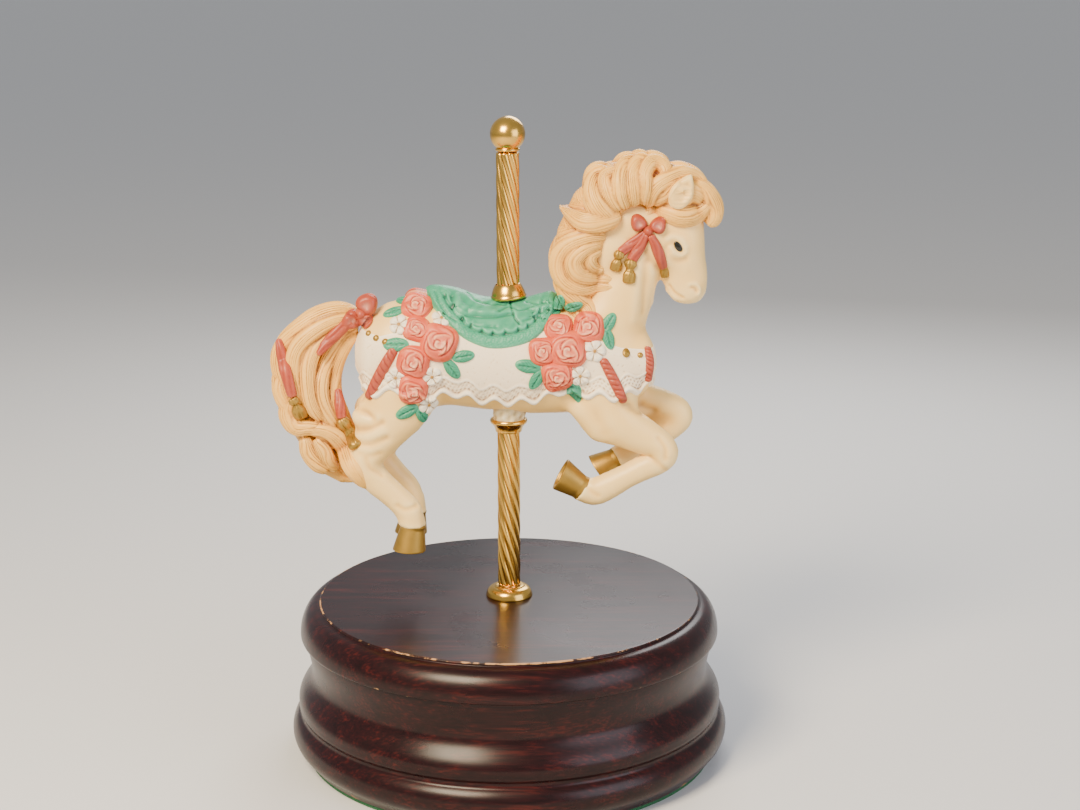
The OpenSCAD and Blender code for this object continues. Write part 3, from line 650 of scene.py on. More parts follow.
def crease(mesh: bpy.types.Mesh, lines: Creases, swell: float = 0.0) -> None:
    """Models creases and ridges into both sides of a mesh.

    Args:
        mesh: the mesh to model.
        lines: path in the side view, its reach, and its height; a minus cuts in.
        swell: how far the whole skin moves out.
    """
    skin = Skin(mesh)
    points, normals = points_of(mesh), normals_of(mesh)
    move = np.full(len(points), swell)
    for path, reach, height in lines:
        for side in Side:
            length = sum(math.dist(a, b) for a, b in zip(path, path[1:]))
            rows = smooth_path(path, 4 + math.ceil(length / (0.4 * reach)))
            spots, _, landed = skin.from_side(rows[:, 0], rows[:, 1], side)
            near = np.full(len(points), 1e9)
            for spot in spots[landed]:
                near = np.minimum(near, ((points - spot) ** 2).sum(1))
            move += height * np.exp(-near / reach**2)
    set_points(mesh, points + normals * move[:, None])


@dataclass
class Strand:
    """A lock of hair, ribbon or cord that lies on a skin and follows a path in the side view."""

    path: Sequence[Sequence[float]]
    ridges: float = 4.0
    depth: float = 0.3
    lift: float = 0.0
    blunt: float = 0.5
    rope: float = 0.0
    steps: tuple[int, int] = (36, 60)

    def spine(self, skin: Skin, side: Side) -> Array:
        """Lays the strand's middle line on the skin.

        Args:
            skin: what it lies on.
            side: which side of the horse.

        Returns:
            Rows of place, across, over, half width and half thickness.
        """
        rows = smooth_path(self.path, 48)
        spot, _, landed = skin.from_side(rows[:, 0], rows[:, 1], side)
        out = np.where(landed, spot[:, 1] * side.value, np.nan)
        known = np.flatnonzero(~np.isnan(out))
        out = np.interp(np.arange(48), known, out[known]) if len(known) else np.full(48, 4.0)
        for _ in range(8):
            out[1:-1] = 0.25 * out[:-2] + 0.5 * out[1:-1] + 0.25 * out[2:]
        extra = rows[:, 4] if rows.shape[1] > 4 else 0.0
        line = np.stack([rows[:, 0], (out + self.lift + extra) * side.value, rows[:, 1]], axis=1)
        ahead = unit(np.gradient(line, axis=0))
        across = unit(np.cross(ahead, np.array([0.0, side.value, 0.0])))
        over = unit(np.cross(across, ahead))
        over *= np.sign((over[:, 1] * side.value).sum()) or 1.0
        return np.hstack([line, across, over, rows[:, 2:4]])

    def mesh(self, skin: Skin, side: Side, name: str) -> bpy.types.Mesh:
        """Sweeps the strand over the skin.

        Args:
            skin: what it lies on.
            side: which side of the horse.
            name: the mesh's name.

        Returns:
            The closed mesh.
        """
        data = self.spine(skin, side)

        def place(u: Array, v: Array) -> Array:
            """Sweeps the ridged section along the path."""
            row = sampled(data, v)
            angle = 2 * np.pi * u
            end = np.clip(np.minimum(v, 1 - v) / (0.14 * self.blunt + 0.02), 0, 1)
            size = np.sqrt(1 - (1 - end) ** 2)
            wide, high = np.cos(angle), np.sin(angle)
            if self.rope:
                wave = np.abs(np.sin(np.pi * (v * self.rope + 0.45 * wide)))
                rib = 1 - self.depth * (1 - wave**0.5)
            else:
                wave = np.abs(np.sin(np.pi * (0.5 + self.ridges * 0.5 * wide + 0.35 * np.sin(5 * v))))
                rib = 1 - self.depth * (1 - wave**0.6) * (high > 0)
            across_by = (wide * size * row[:, 9])[:, None]
            over_by = (high * size * rib * row[:, 10])[:, None]
            return row[:, :3] + row[:, 3:6] * across_by + row[:, 6:9] * over_by

        return moved_grid(name, *self.steps, place)


@dataclass
class Sprig:
    """A raised ornament on a skin, as a rose, a leaf or a bow's loop, closed and sunk at its foot."""

    x: float
    z: float
    width: float
    height: float
    turn: float = 0.0
    rise: float = 1.0
    face_on: float = 0.5
    foot: float = 1.6
    lift: float = 0.0
    steps: tuple[int, int] = (48, 26)

    def outline(self, angle: Array) -> Array:
        """Gives the outline's radius round the sprig, as a share of its size."""
        return np.ones_like(angle)

    def crown(self, share: Array, angle: Array) -> Array:
        """Gives the height over the foot as a share of the rise."""
        return np.sqrt(np.clip(1 - share**2, 0, 1))

    def heart(self, share: Array, angle: Array) -> Array:
        """Gives how much of the finish's second colour shows."""
        return np.zeros_like(share)

    def mesh(self, skin: Skin, side: Side, name: str) -> bpy.types.Mesh:
        """Raises the sprig on the skin.

        Args:
            skin: what it sits on.
            side: which side of the horse.
            name: the mesh's name.

        Returns:
            The closed mesh.
        """
        spot, out, landed = skin.from_side(np.array([self.x]), np.array([self.z]), side)
        facing = np.array([0.0, float(side.value), 0.0])
        centre = spot[0] if landed[0] else np.array([self.x, 5.0 * side.value, self.z])
        up = unit(self.face_on * facing + (1 - self.face_on) * (out[0] if landed[0] else facing))
        flat_x = unit(np.array([1.0, 0.0, 0.0]) - up * up[0])
        flat_z = np.cross(up, flat_x)
        flat_z *= np.sign(flat_z[2]) or 1.0
        turn = math.radians(self.turn)

        def split(u: Array, v: Array) -> tuple[Array, Array, Array]:
            """Parts the grid into the crown, then the foot back to the middle."""
            share = np.where(v < 0.8, np.sin(v / 0.8 * np.pi / 2), 1 - (v - 0.8) / 0.2)
            return np.clip(share, 0, 1), 2 * np.pi * u, v < 0.8

        def place(u: Array, v: Array) -> Array:
            """Puts the points on the skin's tangent plane."""
            share, angle, top = split(u, v)
            reach = self.outline(angle) * share
            a, b = reach * np.cos(angle) * self.width, reach * np.sin(angle) * self.height
            across, upward = (
                a * math.cos(turn) - b * math.sin(turn),
                a * math.sin(turn) + b * math.cos(turn),
            )
            flat = centre + flat_x * across[:, None] + flat_z * upward[:, None]
            above, _, hit = skin.hit(flat + up * 6, np.tile(-up, (len(flat), 1)))
            ground = np.where(hit, ((above - flat) @ up), -0.4 * (share**2) * self.width * 0.3)
            ground = np.clip(ground, -3.0, 2.0)
            ring = np.clip(ground, -0.9, 0.35) if self.rise > 1.5 else ground
            height = np.where(top, self.crown(share, angle) * self.rise, -self.foot)
            height = np.where(share > 0.985, np.minimum(height, -0.35), height)
            return flat + up * (ring + height + self.lift)[:, None]

        return moved_grid(
            name, *self.steps, place, heart=lambda u, v: self.heart(*split(u, v)[:2]) * (v < 0.8)
        )


class Rose(Sprig):
    """A cabbage rose: two wrapped petals round a small wound bud."""

    def outline(self, angle: Array) -> Array:
        """Four soft outer petals."""
        return 1 + 0.05 * np.sin(4 * angle + self.turn) + 0.03 * np.sin(3 * angle + 2 * self.turn)

    def petals(self, share: Array, angle: Array) -> Array:
        """Gives the rolled edges of two rings of overlapping petals, with the tuck outside each."""
        edge = np.zeros_like(share)
        for arms, inner, outer, shift in ((2, 0.52, 0.9, 0.0), (-3, 0.3, 0.62, 0.45), (1, 0.06, 0.38, 0.2)):
            part = np.mod(arms * angle / (2 * np.pi) + shift + 0.17 * self.turn, 1)
            off = share - inner - (outer - inner) * part**1.3
            lip = np.where(off < 0, np.exp(-((off / 0.13) ** 2)), np.exp(-((off / 0.035) ** 2)))
            tuck = 0.55 * np.exp(-(((off - 0.07) / 0.045) ** 2))
            edge = edge + (lip - tuck) * np.clip(np.sin(np.pi * part), 0, 1) ** 0.45
        return edge

    def crown(self, share: Array, angle: Array) -> Array:
        """A dome with the petals' edges standing out of it."""
        dome = (1 - share**2.6) ** 0.55
        fade = np.clip((0.97 - share) / 0.08, 0, 1) * np.clip(share / 0.06, 0, 1)
        return dome * (1 - 0.12 * share) + 0.15 * self.petals(share, angle) * fade

    def heart(self, share: Array, angle: Array) -> Array:
        """The bud's petals are brushed pale."""
        return 0.75 * np.exp(-((share / 0.5) ** 2)) * np.clip(0.25 + self.petals(share, angle), 0, 1)


class Daisy(Sprig):
    """A small flower with cupped petals round a dot."""

    petals: int = 5

    def outline(self, angle: Array) -> Array:
        """Broad rounded petals."""
        return 0.8 + 0.2 * np.abs(np.cos(self.petals * angle / 2 + self.turn)) ** 0.6

    def crown(self, share: Array, angle: Array) -> Array:
        """Petals that dip towards the dot and at the gaps between them."""
        gap = np.abs(np.cos(self.petals * angle / 2 + self.turn))
        part = 1 - 0.55 * np.exp(-((gap / 0.28) ** 2)) * np.clip(share / 0.4, 0, 1)
        petal = (0.5 + 0.5 * np.clip(share / 0.62, 0, 1)) * part
        dot = 0.35 * np.sqrt(np.clip(1 - (share / 0.2) ** 2, 0, 1))
        edge = np.sqrt(np.clip(1 - share**6, 0, 1))
        return (petal + dot) * edge

    def heart(self, share: Array, angle: Array) -> Array:
        """The dot is dabbed with gold."""
        return np.clip((0.2 - share) / 0.05, 0, 1)


class Leaf(Sprig):
    """A pointed leaf with a sunk middle vein."""

    def outline(self, angle: Array) -> Array:
        """Pointed at both ends and widest at the middle."""
        flat = np.abs(np.cos(angle)) ** 1.4 + (np.sin(angle) / 0.64) ** 2
        return flat**-0.6

    def crown(self, share: Array, angle: Array) -> Array:
        """Arched halves either side of the vein, with side veins."""
        across = share * np.sin(angle)
        along = share * np.cos(angle)
        vein = 0.32 * np.exp(-((across / 0.1) ** 2)) * np.clip((0.8 - np.abs(along)) / 0.2, 0, 1)
        side = 0.05 * np.sin(16 * (along - 0.8 * np.abs(across)))
        return np.sqrt(np.clip(1 - share**4, 0, 1)) * (0.85 + side) - vein


class Ear(Sprig):
    """A horse's ear that lies on the mane, with its hollow facing out."""

    def outline(self, angle: Array) -> Array:
        """Pointed at the tip and round at the base."""
        power = np.where(np.cos(angle) > 0, 1.3, 2.2)
        return (np.abs(np.cos(angle)) ** power + np.abs(np.sin(angle) / 0.62) ** power) ** (-1 / power)

    def crown(self, share: Array, angle: Array) -> Array:
        """A rounded rim round the hollow."""
        hollow = 0.95 * np.exp(-((share / 0.62) ** 4)) * (0.6 - 0.4 * np.sin(angle + 0.6))
        return np.sqrt(np.clip(1 - share**5, 0, 1)) - hollow


class Loop(Sprig):
    """A puffed bow loop with a sunk, paler middle."""

    def outline(self, angle: Array) -> Array:
        """A drop shape that narrows to the knot."""
        return 1 - 0.28 * np.clip(-np.cos(angle), 0, 1) ** 2 + 0.04 * np.cos(3 * angle)

    def crown(self, share: Array, angle: Array) -> Array:
        """A rolled rim round the sunk middle."""
        return np.sqrt(np.clip(1 - share**3, 0, 1)) - 0.42 * np.exp(-((share / 0.42) ** 2))

    def heart(self, share: Array, angle: Array) -> Array:
        """The middle is left paler."""
        return 0.5 * np.exp(-((share / 0.34) ** 2))


class Stud(Sprig):
    """A small domed stud."""


def show(
    mesh: bpy.types.Mesh, name: str, body: str, slot: str, *nodes: str, finish: Finish | None = None
) -> bpy.types.Object:
    """Adds a finished piece to the scene and to the frame.

    Args:
        mesh: its mesh, in place.
        name: the piece's name.
        body: the body that it moves with.
        slot: the material slot that it takes its finish from.
        nodes: the CAD nodes that it stands for.
        finish: its finish, when that isn't the slot's own.

    Returns:
        The object.
    """
    mesh.materials.clear()
    mesh.materials.append((finish or SLOT_FINISH[slot]).material())
    piece = bpy.data.objects.new(name, mesh)
    bpy.context.scene.collection.objects.link(piece)
    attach(piece, body)
    if nodes:
        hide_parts(*nodes)
    LOG.info("%s: %d faces on %s", name, len(mesh.polygons), body)
    return piece


def node_copy(frame: dict, node: str) -> bpy.types.Mesh:
    """Copies a CAD node's mesh and merges its loose triangles."""
    return joined(node + "_copy", [frame["nodes"][node].data])


def lathe(
    name: str, outline: Sequence[Sequence[float]], steps: int, **values: Sequence[float]
) -> bpy.types.Mesh:
    """Spins a closed outline round the pole's axis.

    Args:
        name: the mesh's name.
        outline: radius and height of each corner, in millimetres.
        steps: how many steps a full turn has.
        values: attribute name to its value at each corner.

    Returns:
        The closed mesh.
    """
    work = bmesh.new()
    keys = {key: work.verts.layers.float.new(key) for key in values}
    ring = [work.verts.new((r * MM, 0.0, z * MM)) for r, z in outline]
    for key, layer in keys.items():
        for vert, value in zip(ring, values[key]):
            vert[layer] = value
    edges = [work.edges.new((ring[i], ring[(i + 1) % len(ring)])) for i in range(len(ring))]
    bmesh.ops.spin(
        work,
        geom=ring + edges,
        cent=(0, 0, 0),
        axis=(0, 0, 1),
        angle=math.tau,
        steps=steps,
        use_merge=True,
        use_duplicate=False,
    )
    bmesh.ops.remove_doubles(work, verts=work.verts, dist=0.003 * MM)
    bmesh.ops.recalc_face_normals(work, faces=work.faces)
    mesh = bpy.data.meshes.new(name)
    work.to_mesh(mesh)
    work.free()
    mesh.shade_smooth()
    return mesh


def bend(
    x: float, z: float, rx: float, rz: float, start: float, end: float, steps: int
) -> list[tuple[float, float]]:
    """Gives the points of an arc of an outline, with its angles in degrees."""
    turns = [math.radians(start + (end - start) * i / steps) for i in range(steps + 1)]
    return [(x + rx * math.cos(a), z + rz * math.sin(a)) for a in turns]


def swing(r0: float, z0: float, r1: float, z1: float, steps: int) -> list[tuple[float, float]]:
    """Gives half a wave of an outline from one radius to another."""
    shares = [i / steps for i in range(steps + 1)]
    return [(r0 + (r1 - r0) * (1 - math.cos(math.pi * t)) / 2, z0 + (z1 - z0) * t) for t in shares]


# ---- the base ----


@dataclass
class TurnedBase:
    """The turned wooden base with its flat top, nosing, cove, ogee and foot bead."""

    height: float = 46.0
    deck_r: float = 55.6
    nosing_r: float = 61.3
    waist_r: float = 58.2
    shoulder_r: float = 62.3
    foot_r: float = 64.3
    felt: float = 1.2
    cavity_r: float = 46.0
    recess_r: float = 51.5
    deck: float = 8.0
    board_top: float = 16.0

    def outline(self) -> tuple[list[tuple[float, float]], list[float]]:
        """Gives the section's outline with the pale wear at each of its points: rubbed lacquer, and a painted
        highlight on the convex mouldings.
        """
        h = self.height
        parts: list[tuple[list[tuple[float, float]], float]] = [
            ([(4.0, h), (4.4, h), (20.0, h), (40.0, h), (self.deck_r - 0.7, h)], 0.0),
            (bend(self.deck_r - 0.35, h - 0.3, 0.35, 0.3, 90, 0, 4), 1.12),
            ([(self.deck_r - 0.1, h - 0.8), (self.deck_r + 0.15, h - 1.0)], 0.2),
            (bend(self.deck_r + 0.2, h - 9, self.nosing_r - self.deck_r - 0.2, 7.9, 84, 2, 26), 0.55),
            ([(self.nosing_r, h - 9.2), (self.nosing_r - 0.15, h - 9.6)], 0.86),
            ([(self.nosing_r - 0.9, h - 9.9)], 0.7),
            (swing(self.waist_r + 1.4, h - 10.2, self.waist_r, h - 20, 22), 0.1),
            (swing(self.waist_r, h - 20, self.shoulder_r, h - 29, 22)[1:], 0.4),
            (bend(self.shoulder_r - 2, h - 30.2, 2, 2.2, 10, -40, 6), 0.62),
            ([(self.shoulder_r - 0.8, h - 32.4)], 0.2),
            (bend(self.foot_r - 5.75, h - 38, 5.75, 5.75, 54, -52, 26), 0.66),
            ([(self.foot_r - 3.4, h - 44), (self.foot_r - 3.8, self.felt)], 0.9),
            ([(self.recess_r, self.felt), (self.recess_r, self.board_top)], 0.3),
            ([(self.cavity_r, self.board_top), (self.cavity_r, h - self.deck), (4.0, h - self.deck)], 0.0),
        ]
        points = [p for run, _ in parts for p in run]
        wear = [w for run, w in parts for _ in run]
        return points, wear

    def build(self) -> None:
        """Turns the base."""
        points, wear = self.outline()
        mesh = lathe("turned_base", points, 256, wear=wear)
        mesh = modified(mesh, ("BEVEL", {"width": 0.12 * MM, "segments": 2, "angle_limit": math.radians(50)}))
        show(mesh, "turned_base", "base", "stained_wood", "base_shell")


# ---- the pole ----


@dataclass
class BrassPole:
    """The twisted brass pole with its flange, collar, ferrule and ball."""

    radius: float = 3.3
    flutes: int = 9
    depth: float = 0.55
    lead: float = 55.0
    lower: tuple[float, float] = (49.5, 99.5)
    upper: tuple[float, float] = (134.6, 176.3)
    bore: float = 1.65
    clean: float = 0.6

    def twisted(self, name: str, low: float, high: float) -> bpy.types.Mesh:
        """Winds the flutes round one length of pole.

        Args:
            name: the mesh's name.
            low: its lower end.
            high: its upper end.

        Returns:
            The mesh.
        """

        def place(u: Array, v: Array) -> Array:
            """Outer skin, then back down through the bore."""
            outer = v < 0.92
            t = np.clip(v / 0.92, 0, 1)
            z = low + (high - low) * np.where(outer, t, 1 - (v - 0.92) / 0.08)
            angle = 2 * np.pi * u - 2 * np.pi * z / self.lead
            ridge = np.abs(np.cos(self.flutes * np.pi * u)) ** 0.75
            tuck = np.clip(np.minimum(t, 1 - t) * (high - low) / 0.4, 0, 1)
            radius = self.radius - self.depth * (1 - ridge) - 0.25 * (1 - tuck)
            radius = np.where(outer, radius, self.bore)
            return np.stack([radius * np.cos(angle), radius * np.sin(angle), z], axis=1)

        def relief(u: Array, v: Array) -> Array:
            """Brown tarnish lies in the flutes."""
            return 0.18 + 0.6 * np.abs(np.cos(self.flutes * np.pi * u)) ** 0.6

        return moved_grid(name, 144, 150, place, relief=relief)

    def build(self) -> None:
        """Builds the pole's brass pieces."""
        for name, ends, node in (
            ("pole_below", self.lower, "lower_pole"),
            ("pole_above", self.upper, "upper_pole"),
        ):
            show(self.twisted(name, *ends), name, "carousel", "polished_brass", node)
        self.flange()
        self.ball()
        self.ferrule()
        self.collar()

    def spun(self, name: str, body: str, node: str, points: list, tilt: float = 0.0) -> None:
        """Spins a brass fitting and shows it.

        Args:
            name: the piece's name.
            body: what it moves with.
            node: the CAD node that it replaces.
            points: the closed outline.
            tilt: a lean to the left in degrees, about the outline's middle height.
        """
        mesh = lathe(name, points, 96, relief=[self.clean] * len(points))
        mesh = modified(mesh, ("BEVEL", {"width": 0.1 * MM, "segments": 3, "angle_limit": math.radians(40)}))
        if tilt:
            spots = points_of(mesh)
            middle = 0.5 * (spots[:, 2].min() + spots[:, 2].max())
            lean = math.radians(tilt)
            x, z = spots[:, 0].copy(), spots[:, 2] - middle
            spots[:, 0] = x * math.cos(lean) - z * math.sin(lean)
            spots[:, 2] = middle + x * math.sin(lean) + z * math.cos(lean)
            set_points(mesh, spots)
        show(mesh, name, body, "polished_brass", node)

    def flange(self) -> None:
        """The domed flange where the pole enters the base."""
        points = [(2.86, 38.0), (4.0, 38.0), (4.0, 46.0), (6.8, 46.0), (6.8, 46.5)]
        points += bend(4.5, 46.6, 2.15, 2.3, 8, 90, 14)
        points += [(4.2, 49.3), (2.86, 49.3)]
        self.spun("pole_flange", "base", "pole_bush", points)

    def ball(self) -> None:
        """The ball with its neck ring."""
        points = [(1.65, 176.3), (2.8, 176.3)]
        points += bend(2.85, 176.9, 0.6, 0.5, -80, 80, 8)
        points += [(2.5, 177.6)]
        points += bend(0.0, 181.2, 4.95, 4.95, -56, 90, 44)
        points += [(0.0, 179.0), (1.65, 178.6)]
        self.spun("ball_finial", "carousel", "finial", points)

    def ferrule(self) -> None:
        """The flared ferrule that sits a little crooked on the saddle."""
        points = [(3.36, 134.7), (4.6, 134.7), (4.95, 134.9), (5.08, 135.25), (5.02, 135.6), (4.86, 135.8)]
        points += [(4.78, 136.2), (4.62, 136.8), (4.36, 137.5), (4.02, 138.2), (3.66, 138.8), (3.36, 139.1)]
        self.spun("saddle_ferrule", "carousel", "top_ferrule", points, tilt=5.0)

    def collar(self) -> None:
        """The cone under the belly with its rolled rim."""
        points = [(3.36, 95.8), (3.75, 95.8), (3.85, 96.3), (4.0, 96.9), (4.3, 97.5), (4.7, 98.0)]
        points += bend(4.75, 99.0, 0.65, 0.75, -75, 90, 10)
        points += [(4.5, 99.45), (3.36, 99.4)]
        self.spun("belly_cone", "carousel", "belly_collar", points)


# ---- the horse ----


def lump(
    x: float, out: float, z: float, a: float, b: float, c: float, turn: float, side: Side = Side.FAR
) -> bpy.types.Mesh:
    """Makes an egg-shaped lump that a casting or a mass of hair is built up from.

    Args:
        x: its middle along the horse.
        out: its middle's distance from the middle plane.
        z: its middle's height.
        a: its half length.
        b: its half width.
        c: its half height.
        turn: its lean in the side view, in degrees.
        side: which side it is on.

    Returns:
        The closed mesh.
    """
    work = bmesh.new()
    bmesh.ops.create_uvsphere(work, u_segments=28, v_segments=18, radius=1.0)
    mesh = bpy.data.meshes.new("lump")
    work.to_mesh(mesh)
    work.free()
    ball = points_of(mesh) * MM * [a, b, c]
    lean = math.radians(turn)
    ball[:, 0], ball[:, 2] = (
        ball[:, 0] * math.cos(lean) - ball[:, 2] * math.sin(lean),
        ball[:, 0] * math.sin(lean) + ball[:, 2] * math.cos(lean),
    )
    set_points(mesh, ball + [x, out * side.value, z])
    return mesh


@dataclass
class Casting:
    """The horse's own body: one bisque casting, fused from its rough solids and then modelled."""

    frame: dict
    creases: Creases = (
        # each is a path in the side view, its reach and its height; a minus cuts in
        (((44.6, 152.6), (46.4, 153.2), (48.4, 152.2), (49.6, 150.2)), 0.9, 0.55),
        (((45.6, 150.2), (46.8, 148.6), (48.6, 147.9), (49.8, 148.8)), 0.7, 0.45),
        (((44.0, 150.0), (45.0, 147.6), (47.4, 146.4), (49.6, 147.0)), 1.0, -0.3),
        (((51.6, 138.8), (52.6, 138.4), (53.2, 137.4)), 0.55, -0.55),
        (((51.2, 139.4), (52.8, 139.3), (53.9, 138.1), (53.6, 136.8)), 0.6, 0.4),
        (((45.6, 138.8), (46.6, 137.3), (47.8, 136.3), (49.2, 135.6)), 0.5, -0.5),
        (((44.8, 137.4), (46.0, 136.2), (47.4, 135.2)), 0.7, 0.25),
        (((38.6, 149.0), (40.8, 145.6), (43.4, 143.6)), 1.3, -0.7),
        (((40.6, 153.4), (42.6, 149.6), (44.6, 147.8)), 2.4, 0.6),
        (((38.6, 146.0), (38.6, 140.0), (38.2, 132.0)), 1.3, -0.5),
        (((40.6, 145.0), (41.0, 139.0), (40.4, 131.0)), 1.3, 0.25),
        (((36.0, 144.0), (35.8, 137.0), (35.2, 130.0)), 1.5, 0.25),
        (((-45.0, 104.6), (-41.0, 104.2), (-38.0, 102.4)), 1.1, -0.7),
        (((-43.6, 98.4), (-39.0, 99.6), (-35.6, 101.4)), 1.1, -0.6),
        (((-43.0, 94.8), (-38.6, 95.0), (-34.4, 96.6)), 1.1, -0.5),
        (((-42.4, 92.0), (-39.0, 91.4), (-36.4, 92.0)), 1.0, -0.3),
        (((-44.4, 101.4), (-40.0, 102.0), (-36.8, 102.6)), 1.3, 0.3),
        (((-43.4, 96.6), (-39.0, 97.2), (-35.0, 98.8)), 1.3, 0.25),
        (((42.6, 96.4), (44.4, 93.4), (44.6, 90.4)), 0.7, -0.35),
        (((40.4, 90.6), (42.4, 89.2), (44.8, 86.6)), 0.8, -0.4),
        (((-40.4, 90.4), (-39.0, 87.4), (-36.0, 85.4)), 0.8, -0.4),
        (((-31.6, 76.4), (-29.4, 75.2), (-26.4, 76.0)), 0.7, -0.4),
        (((22.2, 84.4), (23.0, 81.4), (25.6, 79.4)), 0.7, -0.35),
        (((20.0, 108.0), (24.0, 104.0), (27.0, 98.6)), 2.6, -0.7),
        (((33.0, 106.6), (37.4, 103.4), (42.0, 101.0)), 1.5, -0.7),
    )

    muscles: Sequence[Sequence[float]] = (
        # cheeks, muzzle, shoulders and haunches: x, out, z, half length, half width, half height, turn
        (44.6, 3.6, 149.2, 5.4, 2.4, 5.6, -20),
        (51.2, 2.6, 137.8, 3.8, 2.3, 3.2, -30),
        (51.8, 0.0, 137.0, 4.2, 4.2, 2.9, -20),
        (50.6, 2.0, 152.6, 2.6, 2.8, 4.6, 0),
        (28.0, 6.6, 110.6, 9.0, 5.8, 10.0, 35),
        (-30.6, 6.0, 110.0, 10.4, 6.8, 11.0, 0),
        (37.0, 3.2, 117.5, 5.0, 6.2, 7.0, 0),
        (-38.6, 6.2, 100.4, 6.4, 4.6, 6.6, 35),
        (29.4, 2.0, 149.6, 6.2, 5.2, 9.4, -14),
        (34.6, 2.0, 157.0, 6.6, 4.8, 5.6, 10),
        (47.6, 2.0, 164.6, 5.4, 5.6, 4.4, -20),
    )
    legs: Sequence[tuple[Sequence[Sequence[float]], Side]] = (
        # x, z, half thickness in the side view, half width, from the shoulder to the pastern
        (
            (
                (24, 109, 9, 5.2), (29, 102.4, 7.4, 5.4), (34, 98.6, 6.0, 4.8), (39, 95.8, 5.0, 4.2),
                (43, 93.2, 4.5, 4.0), (44.2, 90.9, 4.2, 3.8), (42.4, 88.8, 3.9, 3.6), (39, 87, 3.6, 3.4),
                (34, 84.4, 3.4, 3.2), (28.6, 81.4, 3.8, 3.3), (24.8, 79.8, 3.9, 3.4), (21.4, 80.4, 3.5, 3.3),
                (19.6, 81.7, 3.3, 3.2),
            ),
            Side.NEAR,
        ),
        (
            (
                (26, 108, 9, 5.2), (34, 104.4, 5.8, 4.8), (40, 103.6, 4.5, 4.2), (45, 102.3, 4.0, 3.9),
                (48.9, 100.2, 3.9, 3.8), (49.6, 97.9, 3.7, 3.6), (47.4, 95.4, 3.5, 3.4),
                (43.4, 92.4, 3.4, 3.2), (38.6, 89.6, 3.4, 3.2), (35, 87.6, 3.6, 3.3), (31, 85.3, 3.5, 3.3),
            ),
            Side.FAR,
        ),
        (
            (
                (-28, 114, 12, 5.5), (-32.5, 102.5, 8.4, 5.6), (-38, 94.8, 5.8, 4.8), (-40.6, 88.8, 4.7, 4.2),
                (-38.2, 83.6, 4.1, 3.7), (-32.8, 78.4, 3.7, 3.3), (-28.9, 74, 3.8, 3.5),
                (-27.6, 69, 3.6, 3.5),
            ),
            Side.NEAR,
        ),
        (
            (
                (-28, 113, 11, 5.5), (-31.5, 101, 8, 5.4), (-36.4, 93, 5.6, 4.6), (-38, 87.2, 4.5, 4.1),
                (-34.8, 82.2, 3.9, 3.6), (-30.4, 77.4, 3.6, 3.3), (-28.7, 73, 3.7, 3.4),
                (-28.2, 69.4, 3.6, 3.5),
            ),
            Side.FAR,
        ),
    )
    leg_steps: int = 90
    voxel: float = 0.98

    def round_leg(self, mesh: bpy.types.Mesh, rows: Sequence[Sequence[float]], side: Side) -> None:
        """Draws one leg of the fused skin onto a smooth round limb.

        Args:
            mesh: the fused skin.
            rows: the limb's rows.
            side: which side the leg is on.
        """
        line = smooth_path(rows, self.leg_steps)
        spots = np.stack([line[:, 0], np.full(self.leg_steps, LEG_Y * side.value), line[:, 1]], axis=1)
        size = np.stack([line[:, 2], line[:, 3], line[:, 2]], axis=1)
        points = points_of(mesh)
        off = (points[:, None, :] - spots) / size
        reach = np.linalg.norm(off, axis=2)
        pick = reach.argmin(1)
        near = reach.min(1)
        here = off[np.arange(len(points)), pick] / np.maximum(near, 0.2)[:, None]
        goal = spots[pick] + here * size[pick]
        row = pick / (self.leg_steps - 1) * (len(rows) - 1)
        share = np.clip((row - 1.1) / 1.2, 0, 1)
        share *= np.clip((2.3 - near) / 0.5, 0, 1) * (points[:, 1] * side.value > 0.2)
        share = share * share * (3 - 2 * share)
        set_points(mesh, points + (goal - points) * share[:, None])

    def build(self) -> bpy.types.Mesh:
        """Fuses and models the casting.

        Returns:
            Its mesh, which the hair and the ornaments are laid on.
        """
        rough = [node_copy(self.frame, "horse_casting")]
        rough += [lump(*row, side) for side in Side for row in self.muscles]
        mesh = fused("horse_body", rough, self.voxel, 10)
        for rows, side in self.legs:
            self.round_leg(mesh, rows, side)
        fair(mesh, 50)
        mesh = modified(mesh, ("SUBSURF", {"levels": 1, "render_levels": 1}))
        crease(mesh, self.creases, 0.1)
        return mesh

    def finish(self, body: bpy.types.Mesh, mane: bpy.types.Mesh) -> None:
        """Adds the ears over the mane and shows the casting.

        Args:
            body: the casting's mesh.
            mane: the mane's mesh.
        """
        skin = Skin(mane)
        ear = Ear(48.4, 166.0, 5.2, 5.4, turn=62.0, rise=1.6, face_on=0.85, foot=3.4, steps=(60, 40))
        mesh = joined("horse_body", [body, *[ear.mesh(skin, side, "ear") for side in Side]])
        mark_relief(mesh, 22, 0.5, 0.52)
        show(mesh, "horse_body", "carousel", "bisque_cream", "horse_casting")


